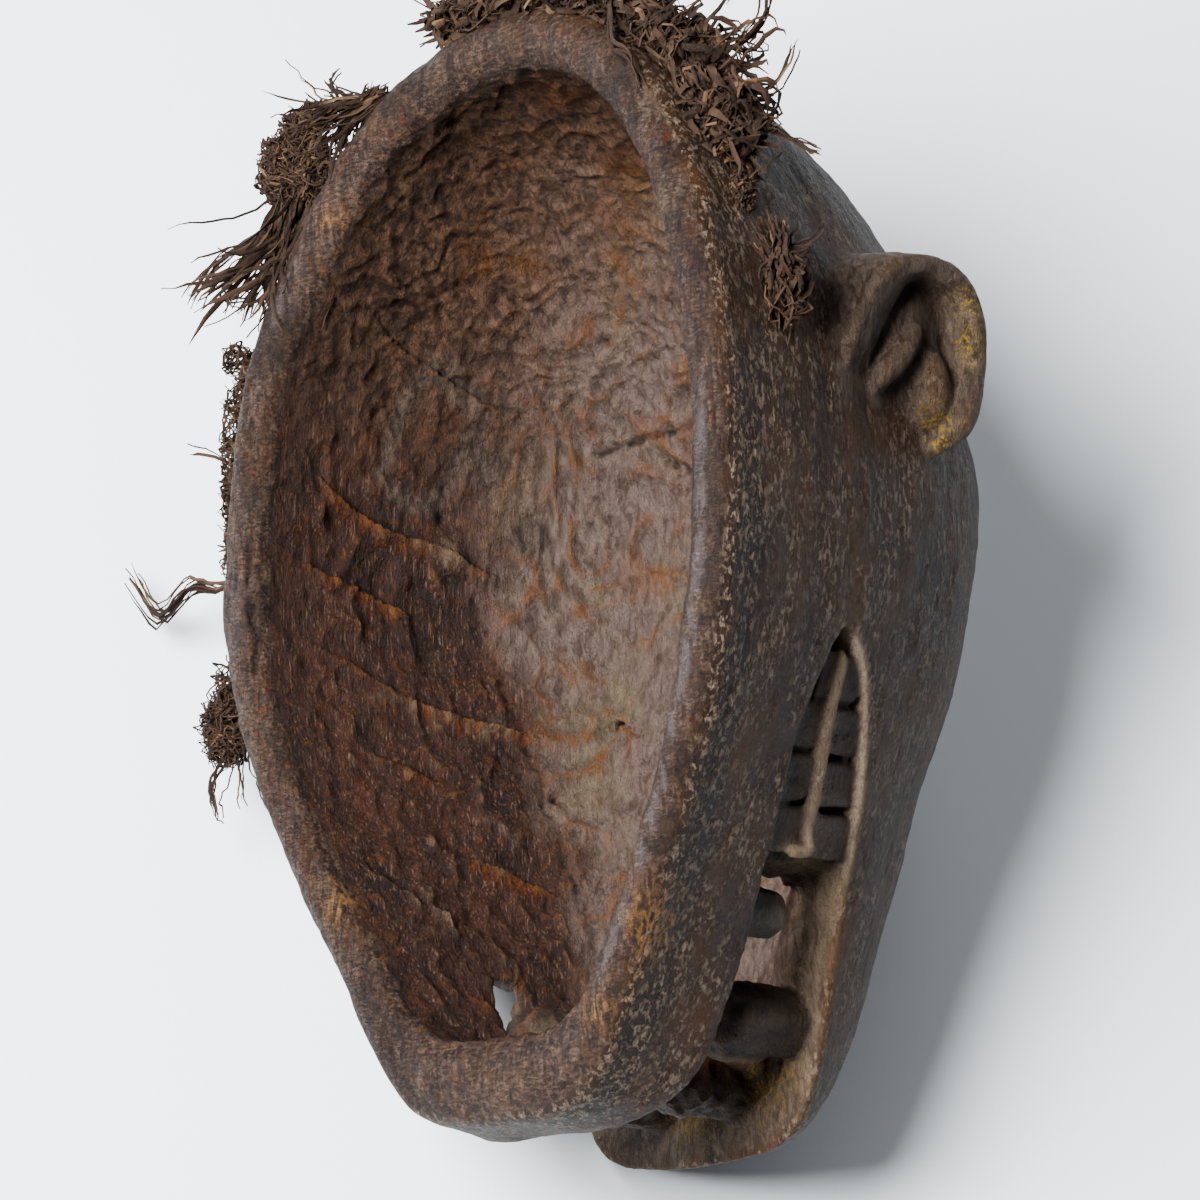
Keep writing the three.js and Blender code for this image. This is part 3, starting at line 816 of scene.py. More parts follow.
# %% Strokes
STROKE_WANDER, STROKE_SLANT, STROKE_LONG = 7, 0.46, 27
# Each worm hole's place, half width and depth.
HOLES = [
    ((-59.0, -51.3, -79.0), 1.6, 3.5),
    ((-35.6, 56.3, -110.9), 1.4, 3),
    ((-85.0, 39.7, -55.8), 2.0, 2.5),
    ((-31.7, 150.6, -13.0), 2.4, 3),
    ((-43.0, 96.0, -90.0), 1.9, 2.5),
]
LONG_CRACK = [(-82, 15, -67), (-70, -28, -75), (-54, -66, -76), (-39, -102, -78)]
# Each crack's line, half width and depth.
CRACKS = [
    ([(-56, 62, -97), (-48.5, 64.9, -102.3), (-37, 65.9, -107.1), (-18, 69, -111)], 1.2, 2.2),
    (LONG_CRACK, 1.4, 1.3),
    ([(-97.5, 24, 15.5), (-96.5, 12, 16)], 1.1, 1.8),
    ([(-96, 3, 16), (-93, -16, 16)], 1.2, 1.8),
]


def cracked(points, line, wide, deep):
    """How far a crack sinks each point in."""
    line = smooth_line(line, 40)
    gap = np.full(len(points), 99.0)
    wander = points + np.stack([noise(points / 5, 70 + i) for i in range(3)], 1) * 1.6
    for at in line:
        gap = np.minimum(gap, ((wander - at) ** 2).sum(1))
    reach = np.linalg.norm(line[1] - line[0])
    return deep * np.exp(-gap / (wide**2 + 0.2 * reach))


def stroke_ends(points):
    """1 where a gouge stroke stopped and left a step, falling off slowly towards the chin."""
    at = points[:, 1] + STROKE_WANDER * noise(points / 30, 60) - STROKE_SLANT * points[:, 2]
    at = at / STROKE_LONG
    return (at - np.floor(at)) ** 3 * between(noise(points / [30, 24, 30], 61), -0.1, 0.5)


def gouge_marks(points):
    """Three scoop fields: short chips, long strokes, and the floor's swirling facets."""
    wander = np.stack([layered(points / 16, 40 + i, 2) for i in range(3)], 1)
    warped = points + wander * [5, 8, 5]
    high = between(points[:, 1], 55, 85)
    low_chips, high_chips = scoops(warped / [4.2, 9, 5.5], 1), scoops(warped / [8, 4.2, 5.5], 2)
    short = low_chips + high * (high_chips - low_chips)
    long = scoops(warped / [9, 26, 13], 5)
    swirl = points + np.stack([layered(points / 34, 50 + i, 2) for i in range(3)], 1) * 17
    return short, long, scoops(swirl / [6, 15, 11], 9)


print("holes:", len(HOLES), "cracks:", len(CRACKS))

# %% Relief
# How deep each kind of relief goes, in millimetres.
CHIPS, STROKES, STEPS, STREAKS, FLOOR_CHIPS, FACETS, UNEVEN = 2.0, 2.0, 2.0, 0.4, 1.7, 3.3, 1.2
WAVES, FINE_LINES, RIM_LUMPS, RIM_PITS, TOOTH_LUMPS = 0.7, 0.26, 0.55, 0.5, 0.25
MEAN = 0.3  # about a scoop field's mean, taken off so that the skin stays where it is


def relief_of(points, zone):
    """How far each point rises, in millimetres."""
    short, long, broad = gouge_marks(points)
    step = stroke_ends(points)
    wall = zone["hollow"] * (1 - zone["floor"])
    rise = wall * (CHIPS * (short - MEAN) + STROKES * (long - MEAN) + STEPS * step)
    rise += wall * STREAKS * layered(points / [4, 5, 4], 90, 2)
    rise += zone["floor"] * FLOOR_CHIPS * (short - MEAN) * between(points[:, 1], -20, 50)
    rise += zone["floor"] * FACETS * (broad - MEAN)
    rise += zone["hollow"] * UNEVEN * layered(points / 30, 20, 2)
    rise *= between(-points[:, 2], -14, 12) * 0.75 + 0.25
    outside = (1 - zone["hollow"]) * (1 - zone["tooth"])
    rise += outside * WAVES * layered(points / [22, 34, 22], 24, 3)
    rise += outside * FINE_LINES * layered(points / [2.6, 8, 2.6], 28, 2)
    pits = np.minimum(0, noise(points / 4, 34) + 0.35)
    rise += zone["rim"] * (RIM_LUMPS * layered(points / 9, 31) + RIM_PITS * pits)
    rise += zone["tooth"] * TOOTH_LUMPS * layered(points / 4, 37, 2)
    for at, wide, deep in HOLES:
        rise -= deep * np.exp(-(((points - at) / wide) ** 2).sum(1))
    for line, wide, deep in CRACKS:
        rise -= cracked(points, line, wide, deep)
    return rise


evening = mask.modifiers.new("even", "SMOOTH")
evening.factor, evening.iterations = 0.5, 4
mask = applied(mask)
points = points_of(mask.data)
rise = relief_of(points, zones_of(points))
set_points(mask.data, points + normals_of(mask.data) * rise[:, None])
print("relief, mm:", round(rise.min(), 2), "to", round(rise.max(), 2))

# %% [markdown]
# ## A lighter mesh
#
# The fine grid has far more triangles than the smooth parts need. What lies under the resting
# plane is pressed flat first, so that the mask rests on a worn spot. Then the mesh is thinned,
# which keeps triangles where the surface bends, and stray points are drawn back in.

# %% Thin
UP = Vector((0.778, 0.225, 0.586)).normalized()
REST = -132.307  # the resting plane's place along UP
TRIANGLES = 190_000
MOST_BULGE = 0.2


def bulge_of(mesh):
    """How far each point stands out from its neighbours' mean, and the normals."""
    points = points_of(mesh)
    edges = np.empty(len(mesh.edges) * 2, np.int64)
    mesh.edges.foreach_get("vertices", edges)
    one, two = edges.reshape(-1, 2).T
    ends, others = np.concatenate([one, two]), np.concatenate([two, one])
    count = np.bincount(ends, minlength=len(points))
    mean = np.stack([np.bincount(ends, points[others, i], len(points)) for i in range(3)], 1)
    normals = normals_of(mesh)
    value = ((points - mean / count[:, None]) * normals).sum(1)
    return value, normals, ends, others, count


def eased(item):
    """Single points that thinning left standing out of the smooth outside are drawn in."""
    points = points_of(item.data)
    zone = zones_of(points)
    smooth = 1 - between(zone["hollow"] + zone["cut"] + zone["tooth"], 0.02, 0.1)
    for _ in range(2):
        value, normals = bulge_of(item.data)[:2]
        too_far = np.sign(value) * np.maximum(np.abs(value) - MOST_BULGE, 0) * smooth
        points = points_of(item.data) - normals * too_far[:, None]
        set_points(item.data, points)


def worn_flat(item):
    """What lies under the resting plane is pressed up to it."""
    points = points_of(item.data)
    under = np.minimum(points @ np.array(UP) - REST, 0)
    set_points(item.data, points - under[:, None] * np.array(UP))


def triangles_of(mesh):
    """How many triangles its faces come to."""
    return sum(len(polygon.vertices) - 2 for polygon in mesh.polygons)


worn_flat(mask)
thinning = mask.modifiers.new("thin", "DECIMATE")
triangles = triangles_of(mask.data)
thinning.ratio = TRIANGLES / triangles
mask = applied(mask)
eased(mask)
worn_flat(mask)
print("triangles:", triangles, "->", triangles_of(mask.data))

# %% [markdown]
# ## The bast fringe
#
# A fringe of torn bast was tied round the rim, and matted tufts of it are left. Hair particles
# would be quick, but they don't last in an exported mesh. So each strip is a small closed
# ribbon of its own. A wad curls round within an egg, a bundle runs from one place to another,
# and a stray follows its own line. Nothing goes through the wood.

# %% Strips
CRINKLE = 0.28
STRIP_STEPS = 13
SPIN_WANDER = 0.7
FREE_SHARE, DRAW_BACK = 0.6, 3  # a strip is free this far out in its egg, then drawn back


def steps_of(rng, start, way, long, curl, pull=None):
    """A wandering line. The pull is an egg's middle and sizes that it is drawn back into."""
    way = way / np.linalg.norm(way)
    spin = rng.normal(size=3)
    path = [start]
    for _ in range(STRIP_STEPS):
        spin = spin + rng.normal(size=3) * SPIN_WANDER
        spin /= np.linalg.norm(spin)
        way = way + curl * np.cross(spin, way)
        if pull is not None:
            off = (path[-1] - pull[0]) / pull[1]
            reach = np.linalg.norm(off)
            if reach > FREE_SHARE:
                way = way - (reach - FREE_SHARE) * DRAW_BACK * off / reach
        way /= np.linalg.norm(way)
        path.append(path[-1] + way * long / STRIP_STEPS)
    return np.array(path) + rng.normal(size=(STRIP_STEPS + 1, 3)) * CRINKLE


def wad(rng, middle, sizes, count, long, curl, width=(1.0, 2.2)):
    """Strips that curl round within an egg."""
    middle, sizes = np.array(middle, float), np.array(sizes, float)
    for _ in range(count):
        off = rng.normal(size=3)
        off *= rng.uniform(0.25, 1) ** 0.5 / np.linalg.norm(off)
        start = middle + off * sizes
        reach = long * rng.uniform(0.6, 1.3)
        path = steps_of(rng, start, rng.normal(size=3), reach, curl, (middle, sizes))
        yield path, rng.uniform(*width)


def bundle(rng, start, end, wide, count, curl, width=(1.2, 2.6), spread=1.6, held=True):
    """Strips that run side by side from one place to another."""
    start, end = np.array(start, float), np.array(end, float)
    around = ((start + end) / 2, np.abs(end - start) / 2 + 1.3 * wide)
    for _ in range(count):
        low = start + rng.normal(size=3) * wide * 0.5
        high = end + rng.normal(size=3) * wide * 0.5 * spread
        reach = rng.uniform(0.7, 1.05) * np.linalg.norm(high - low)
        pull = around if held else None
        yield steps_of(rng, low, high - low, reach, curl, pull), rng.uniform(*width)


def stray(rng, points, count, width=(0.7, 1.3), loose=0.8):
    """Single strips that follow a line of their own."""
    for _ in range(count):
        line = smooth_line(points, 16) + rng.normal(size=3) * loose * 0.5
        wander = np.cumsum(rng.normal(size=(16, 3)), 0) * loose * 0.3
        yield line + wander - wander[0], rng.uniform(*width)


print("steps in a strip:", STRIP_STEPS)

# %% Ribbons
CLEAR = 0.9  # how far a strip's middle stays off the plain skin


def kept_out(path):
    """Points under the wood's skin are brought out of it."""
    for n, point in enumerate(path):
        near, normal, _, _ = block_tree.find_nearest(Vector(point))
        if (Vector(point) - near).dot(normal) < CLEAR:
            path[n] = near + normal * CLEAR
    return path


def ribbons(name, strips, seed):
    """One mesh of all the strips, each with a shade and a place along it for the material."""
    rng = np.random.default_rng(seed)
    bm = bmesh.new()
    shade = bm.verts.layers.float.new("shade")
    along = bm.verts.layers.float.new("along")
    for path, width in strips:
        path = kept_out(path)
        ways = np.gradient(path, axis=0)
        ways /= np.linalg.norm(ways, axis=1)[:, None] + 1e-9
        side = np.cross(ways[0], rng.normal(size=3))
        tint, twist = rng.uniform(), rng.normal() * 0.16
        rings = []
        for n, (point, way) in enumerate(zip(path, ways)):
            side = side - way * side.dot(way)
            side /= np.linalg.norm(side) + 1e-9
            up = np.cross(way, side)
            side = side * math.cos(twist) + up * math.sin(twist)
            part = n / (len(path) - 1)
            half = width / 2 * min(1, 0.35 + 6 * part, 0.12 + 4.5 * (1 - part))
            flat = up * (0.22 + 0.12 * half)
            ring = [
                bm.verts.new(point + side * half),
                bm.verts.new(point + flat),
                bm.verts.new(point - side * half),
                bm.verts.new(point - flat),
            ]
            for v in ring:
                v[shade], v[along] = tint, part
            rings.append(ring)
        tube(bm, rings)
    return made(name, bm)


print("clear of the wood, mm:", CLEAR)

# %% Tufts
def crown_strips(rng):
    """The torn band along the crown, with its loose ends at the right."""
    line = [(-22, 180, -8), (16, 181, -9), (46, 168, -9), (72, 146, -9), (90, 118, -9)]
    places = smooth_line(line, 13)
    ways = np.gradient(places, axis=0)
    for i, (place, way) in enumerate(zip(places, ways)):
        size = (14, 7, 14) if i < 9 else (9, 9, 10)
        yield from wad(rng, place + (1, 1, 0), size, 38, 38, 0.5, (0.8, 2.2))
        yield from wad(rng, place + (1, 1, 0), size, 34, 30, 0.75, (0.4, 0.9))
        yield from bundle(rng, place - way * 1.2, place + way * 1.8, 10, 26, 0.24, (1.0, 2.8))
    yield from bundle(rng, (77, 148, -11), (98, 106, -15), 7, 60, 0.2, (1.0, 2.8))
    yield from bundle(rng, (70, 155, -13), (100, 136, -18), 7, 34, 0.35, (0.8, 2.0))
    yield from wad(rng, (95, 100, -8), (5, 8, 5), 90, 15, 0.9, (0.4, 0.9))
    yield from stray(rng, [(88, 132, -16), (100, 135, -19), (109, 145, -18)], 4)
    yield from stray(rng, [(84, 150, -18), (95, 158, -20), (98, 172, -17)], 6)
    yield from stray(rng, [(92, 126, -14), (103, 118, -18), (113, 112, -22)], 5)
    yield from stray(rng, [(52, 168, 2), (58, 152, 8), (66, 146, 8), (70, 134, 6)], 3, (1.4, 2.4))


def right_knot_strips(rng):
    """The knot where the band was tied at the right."""
    yield from wad(rng, (105, 74, -13), (5, 10, 5), 110, 18, 0.7, (0.6, 1.5))
    yield from bundle(rng, (103, 88, -12), (107, 56, -15), 6, 110, 0.2, (0.8, 2.0), 1.3)
    yield from stray(rng, [(104, 82, -15), (111, 84, -20), (114, 89, -25)], 2)


def left_tuft_strips(rng):
    """The big matted tuft at the upper left."""
    yield from wad(rng, (-92, 147, 0), (15, 16, 11), 300, 26, 0.95, (0.5, 1.2))
    yield from wad(rng, (-92, 147, 0), (16, 17, 12), 300, 20, 1.1, (0.35, 0.8))
    yield from wad(rng, (-84, 143, 0), (13, 12, 9), 100, 22, 0.9, (0.5, 1.3))
    yield from bundle(rng, (-52, 163, 0), (-84, 150, 0), 4, 80, 0.16, (0.6, 1.8), 1.6, False)
    yield from bundle(rng, (-88, 136, 1), (-106, 94, 4), 8, 110, 0.13, (0.8, 2.2), 1.5, False)
    yield from wad(rng, (-82, 161, 2), (14, 5, 6), 60, 34, 0.6, (0.5, 1.3))
    away = [(-96, 130, 3), (-112, 126, 3), (-124, 122, 4), (-139, 113, 3)]
    yield from stray(rng, away, 9, loose=1.4)
    yield from stray(rng, [(-100, 116, 3), (-114, 108, 4), (-122, 112, 4)], 6, loose=1.5)
    yield from stray(rng, [(-66, 158, 0), (-73, 170, 2), (-68, 175, 3)], 3)


def left_strand_strips(rng):
    """What hangs on the left side, with one long tail."""
    yield from wad(rng, (-113, 78, 1), (4, 15, 4), 60, 22, 0.9, (0.5, 1.2))
    yield from wad(rng, (-118, 46, 2), (6, 19, 5), 90, 28, 0.8, (0.4, 1.1))
    for y in (89, 76, 66, 59, 47, 33, 25):
        size = (rng.uniform(4, 8), rng.uniform(6, 12), 5)
        yield from wad(rng, (-118, y, 2), size, 16, 32, 0.45, (0.4, 1.0))
    yield from stray(rng, [(-116, 52, 2), (-128, 60, 4), (-140, 64, 5)], 2)
    tail = [(-114, 18, 3), (-126, 16, 3), (-140, 19, 3), (-155, 12, 3), (-169, 27, 3)]
    yield from stray(rng, tail, 13, (0.6, 1.3), 1.6)


def left_low_strips(rng):
    """The small ball at the lower left."""
    yield from wad(rng, (-120, -30, 5), (10, 15, 8), 300, 24, 1.0, (0.35, 0.9))
    yield from bundle(rng, (-112, -12, 4), (-121, -32, 5), 6, 60, 0.5, (0.5, 1.2))
    yield from stray(rng, [(-114, -30, 5), (-114, -44, 4), (-109, -56, 4)], 4, loose=1.4)
    yield from stray(rng, [(-118, -38, 5), (-124, -48, 6), (-122, -58, 6)], 5, loose=1.6)


FRINGE = {
    "fibre_crown": crown_strips,
    "fibre_right_knot": right_knot_strips,
    "fibre_left_tuft": left_tuft_strips,
    "fibre_left_strands": left_strand_strips,
    "fibre_left_low_tuft": left_low_strips,
}
print("tufts:", len(FRINGE))

# %% Tie the fringe
fringe = {}
for seed, (node, strips) in enumerate(FRINGE.items()):
    rng = np.random.default_rng(100 + seed)
    fringe[node] = ribbons(node.replace("fibre", "bast"), strips(rng), seed)
    print(node, len(fringe[node].data.polygons), "faces")

# %% [markdown]
# ## What the materials need to know
#
# Old wood is pale where hands rubbed it, glossy on the rim's crest, where a sheen is painted too, and
# stained in a few places.
# A pattern alone can't know where those are. So each point of the thinned mesh keeps its
# zones, how sharp a ridge or pit it is on, and the places that are worn, waxed or stained.

# %% Marks
def ridge_of(mesh):
    """Above zero on ridges and below zero in pits, evened out with the points around."""
    value, _, ends, others, count = bulge_of(mesh)
    return 0.5 * value + 0.5 * np.bincount(ends, value[others], len(value)) / count


def blobs(points, places):
    """1 at each place, fading over its size."""
    total = np.zeros(len(points))
    for at, size in places:
        total = np.maximum(total, np.exp(-(((points - at) / size) ** 2).sum(1)))
    return total


def near_line(points, line, wide):
    """1 on a line, fading over a width."""
    gap = np.full(len(points), 999.0)
    for at in line:
        gap = np.minimum(gap, ((points - at) ** 2).sum(1))
    return np.exp(-gap / wide**2)


def stretches(heights, rows):
    """Shares at these heights of stretches that fade in and out."""
    return sum(
        share * between(heights, start, full) * (1 - between(heights, fade, gone))
        for start, full, fade, gone, share in rows
    )


def keep_mark(mesh, name, values):
    """Stores a value for each point under a name that a material can read."""
    mark = mesh.attributes.new(name, "FLOAT", "POINT")
    mark.data.foreach_set("value", np.ascontiguousarray(values, np.float32))


ridge = ridge_of(mask.data)
print("sharpest ridge, mm:", round(float(ridge.max()), 2))

# %% Places of wear
WORN = [
    ((66, -114, 5), (6, 15, 8)),
    ((-62.9, -93.1, 10.2), (4, 6, 6)),
    ((-66, 123.5, 8), (4, 4, 6)),
    ((45.7, -135.9, 9.1), (6, 5, 5)),
    ((61.6, -89.9, -80), (4, 5, 4)),
]
OCHRE = [
    ((112, 78, -90), (5, 5, 5)),
    ((110, 66, -90), (4, 6, 5)),
    ((104, 43, -82), (6, 4, 5)),
    ((103, 36, -84), (4, 4, 4)),
    ((29, -149, -80), (13, 8, 8)),
    ((0, -160, -74), (13, 5, 6)),
    ((62, -100, -70), (5, 8, 5)),
    ((64, -88, -62), (5, 3, 6)),
    ((96, 88, -96), (6, 5, 6)),
]
# Waxed stretches of the rim, with a painted sheen: from and to these heights they fade in and out, with
# a share.
WAX_SHEEN_LEFT = [(88, 96, 114, 122, 1), (-20, 0, 25, 45, 0.6)]
WAX_SHEEN_RIGHT = [(-135, -120, 30, 60, 1)]
LIP_LEAST = 0.15
EAR_CREST = [(103, 47, -41), (106.5, 64, -46), (108.5, 80, -56)]
print("rubbed places:", len(WORN), "stained places:", len(OCHRE))

# %% Zone marks
mesh = mask.data
points = points_of(mesh)
zone = zones_of(points)
zone["band"] *= 1 - 0.8 * between(points[:, 1], 20, 70)
for name in ("hollow", "floor", "rim", "band", "tooth", "cut"):
    keep_mark(mesh, name, zone[name])
keep_mark(mesh, "ridge", ridge)
wall = zone["hollow"] * (1 - zone["floor"])
keep_mark(mesh, "step", between(stroke_ends(points), 0.3, 0.85) * wall)
facet_edge = between(gouge_marks(points)[2], 0.34, 0.6)
keep_mark(mesh, "facet", facet_edge * zone["floor"])
keep_mark(mesh, "ear", zone["ear"])
keep_mark(mesh, "crown", zone["hollow"] * between(points[:, 1], 30, 110))
print("share of points in the hollow:", round(float(zone["hollow"].mean()), 2))

# %% Wear marks
near_cheek = between(np.abs(points[:, 0]), 30, 50) * (1 - zone["hollow"])
side_view = np.stack([points[:, 1], -points[:, 2]], 1)
lip_line = smooth_line([MOUTH_CORNER, *LIP_EDGE], 90)
fade = LIP_LEAST + (1 - LIP_LEAST) * between(points[:, 1], -110, -60)
keep_mark(mesh, "lip", near_line(side_view, lip_line, 1.2) * near_cheek * fade)
keep_mark(mesh, "bite", sum(near_line(points, line, 3) for line in bites))
on_left, on_right = (stretches(points[:, 1], rows) for rows in (WAX_SHEEN_LEFT, WAX_SHEEN_RIGHT))
glossy = np.where(points[:, 0] > 20, on_right, on_left)
on_ear = near_line(points, smooth_line(EAR_CREST, 40), 2)
keep_mark(mesh, "wax_and_sheen", zone["crest"] * glossy + on_ear)
keep_mark(mesh, "worn", blobs(points, WORN))
keep_mark(mesh, "ochre", blobs(points, OCHRE))
print("marks:", sorted(a.name for a in mesh.attributes if not a.name.startswith(".")))

# %% [markdown]
# ## Lying down
#
# The mask lies on its face, rolled onto its left side. All that was made above stands upright
# in the carver's frame. One turn and one shift are put into the meshes themselves, so that
# every object stays at the origin, as the frame's own nodes do.

# %% Lay
LYING = np.array([
    [0.601641, 0, -0.798766],
    [-0.179785, 0.974341, -0.135416],
    [0.778270, 0.225078, 0.586204],
])
SHIFT = np.array([-25.712, -19.278, 132.307])


def laid(points):
    """Places in the world for places in the carver's frame."""
    return (np.asarray(points) @ LYING.T + SHIFT) * MM


def turned(direction):
    """A direction in the world for one in the carver's frame."""
    return Vector(LYING @ np.array(direction))


for item in (mask, *fringe.values()):
    set_points(item.data, laid(points_of(item.data)))
print("lowest point, mm:", round(points_of(mask.data)[:, 2].min() / MM, 3))

# %% [markdown]
# ## Materials
#
# Pictures of wood would stretch over such a shape, and they would need unwrapping. So every
# finish is mixed from noise in the object's own coordinates and from the marks. The noise is
# turned so that the grain runs along the mask, and stretched along it.

# %% Shader helpers
MASK_TURN = LYING.T.tolist()


def colour(code):
    """Linear colour from a hex code."""
    parts = [int(code[i : i + 2], 16) / 255 for i in (1, 3, 5)]
    return [p / 12.92 if p < 0.04045 else ((p + 0.055) / 1.055) ** 2.4 for p in parts] + [1]


class Shader:
    """A material that is built from named node calls. Sockets and plain values both serve."""

    def __init__(self, name):
        self.material = bpy.data.materials.new(name)
        self.material.use_nodes = True
        self.tree = self.material.node_tree
        self.surface = self.tree.nodes["Principled BSDF"]
        place = self.add("TexCoord").outputs["Object"]
        turn = Matrix(MASK_TURN).to_euler()
        self.grain = self.add(
            "Mapping", {"Vector": place, "Rotation": turn, "Scale": (1000, 1000, 1000)}
        ).outputs[0]

    def add(self, kind, inputs=None, **settings):
        """A new node with its inputs filled."""
        item = self.tree.nodes.new("ShaderNode" + kind)
        for key, value in settings.items():
            setattr(item, key, value)
        for key, value in (inputs or {}).items():
            self.give(item.inputs[key], value)
        return item

    def give(self, socket, value):
        """Links a socket into another, or sets a plain value."""
        if isinstance(value, bpy.types.NodeSocket):
            self.tree.links.new(value, socket)
        else:
            socket.default_value = value

    def mark(self, name):
        """What the mesh keeps under a name."""
        return self.add("Attribute", attribute_name=name).outputs["Fac"]

    def sum(self, operation, one, two):
        """One sum, such as ADD or MULTIPLY."""
        return self.add("Math", {0: one, 1: two}, operation=operation).outputs[0]

    def stretched(self, size, shift=0.0):
        """The grain coordinates in units of a size in millimetres."""
        inputs = {0: self.grain, 1: [1 / v for v in size], 2: (shift, shift, shift)}
        return self.add("VectorMath", inputs, operation="MULTIPLY_ADD").outputs[0]

    def noise(self, size, detail=3.0, rough=0.55, warp=0.0, shift=0.0):
        """Noise whose lumps have a size in millimetres."""
        inputs = {
            "Vector": self.stretched(size, shift),
            "Scale": 1.0,
            "Detail": detail,
            "Roughness": rough,
            "Distortion": warp,
        }
        return self.add("TexNoise", inputs).outputs["Fac"]

    def ramp(self, value, low, high, to_low=0.0, to_high=1.0):
        """A smooth step from one value to another."""
        inputs = {"Value": value, "From Min": low, "From Max": high}
        inputs.update({"To Min": to_low, "To Max": to_high})
        return self.add("MapRange", inputs, interpolation_type="SMOOTHSTEP").outputs[0]

    def mix(self, share, one, two):
        """A share of the second colour over the first."""
        item = self.add("Mix", data_type="RGBA", blend_type="MIX", clamp_factor=True)
        for index, value in ((0, share), (6, one), (7, two)):
            self.give(item.inputs[index], value)
        return item.outputs[2]

    def bump(self, height, distance, under=None):
        """Bumps so many metres high, over others if there are any."""
        inputs = {"Height": height, "Distance": distance, "Strength": 1.0}
        if under:
            inputs["Normal"] = under
        return self.add("Bump", inputs).outputs[0]


print("grain turned by:", [round(v, 2) for v in Matrix(MASK_TURN).to_euler()])

# %% [markdown]
# ### The wood's finish
#
# Old carved wood has a dark patina outside, a paler dusty floor inside, a rim of bare end
# grain and the shine of hands on its crest. One brown with some noise would look like mud. So
# each zone gets a colour of its own from the same patterns, and wear goes over them all. Light
# and shade are painted in as well: the walls are darker than the floor partly as painted shade,
# pits and dents are painted dark as shade, the stroke ends and the biting edge carry painted
# highlights, the crest a painted sheen, and the lips, ridges and floor seams partly so.

# %% Patterns
DEPTH = 0.34  # the colours are as they look fully lit, and the finish keeps this share


class WoodPatterns:
    """The patterns that the wood's colours and bumps share, with sizes in millimetres."""

    def __init__(self, paint):
        self.blotch = paint.noise((26, 40, 26), 4, 0.6)
        self.patch = paint.noise((11, 30, 11), 4, 0.6, 0.4, 5)
        self.grain = paint.noise((1.3, 9, 1.3), 5, 0.6, 0.4)
        self.fine = paint.noise((0.45, 2.6, 0.45), 4, 0.65, 0.3)
        self.grit = paint.noise((0.35, 0.5, 0.35), 3, 0.7)
        self.worm = paint.noise((2.4, 7, 3.2), 4, 0.6, 0.9)
        self.fibre = paint.noise((0.6, 13, 0.6), 3, 0.6, 0.25, 4)
        self.dent = paint.noise((3.2, 4.2, 3.2), 5, 0.65, 0.5, 15)
        self.flake = paint.noise((1.7, 3.0, 1.7), 6, 0.72, 0.4, 3)
        self.pit = paint.noise((2.4, 0.9, 1.4), 5, 0.7, 0, 13)
        self.speck = paint.noise((1.6, 2.0, 1.6), 5, 0.75, 0, 11)
        where = paint.sum("MAXIMUM", paint.ramp(self.patch, 0.38, 0.56, 0.15, 1), paint.mark("band"))
        self.flaked = paint.sum("MULTIPLY", paint.ramp(self.flake, 0.51, 0.55), where)
        # Waxed places are less rough, and on the rim's crest they also get a painted grey sheen.
        broken = paint.ramp(paint.noise((5, 13, 5), 4, 0.6, 0.3, 17), 0.42, 0.56, 0.1, 0.9)
        self.wax_and_sheen = paint.sum("MULTIPLY", paint.mark("wax_and_sheen"), broken)


print("share of the colours' light that is kept:", DEPTH)


# %% Hollow and outside
# The walls' colours are darker than the floor's, partly their own tone and partly painted shade.
WALL_DARK, WALL_BROWN, WALL_GRAIN = colour("#2c201f"), colour("#523a33"), colour("#64402f")
WALL_RUST, WALL_FIBRE, STROKE_END_HIGHLIGHT = colour("#74391c"), colour("#a08674"), colour("#985c3e")
DENT_SHADE, DENT_EDGE_HIGHLIGHT, CROWN_DARK = colour("#1c1413"), colour("#8a5c42"), colour("#3a2a23")
CROWN_PALE, CROWN_RUST, FLOOR_GREY = colour("#876a58"), colour("#804a26"), colour("#65534a")
FLOOR_PALE, FLOOR_DUST, SEAM_TONE_AND_HIGHLIGHT = colour("#93827a"), colour("#9c8e72"), colour("#91644a")
OUTER_DARK, OUTER_BROWN, OUTER_GRAIN = colour("#2e1d15"), colour("#5e402c"), colour("#6c472c")
CRUST, TAN_DARK, TAN_PALE = colour("#24160f"), colour("#857262"), colour("#b4a292")


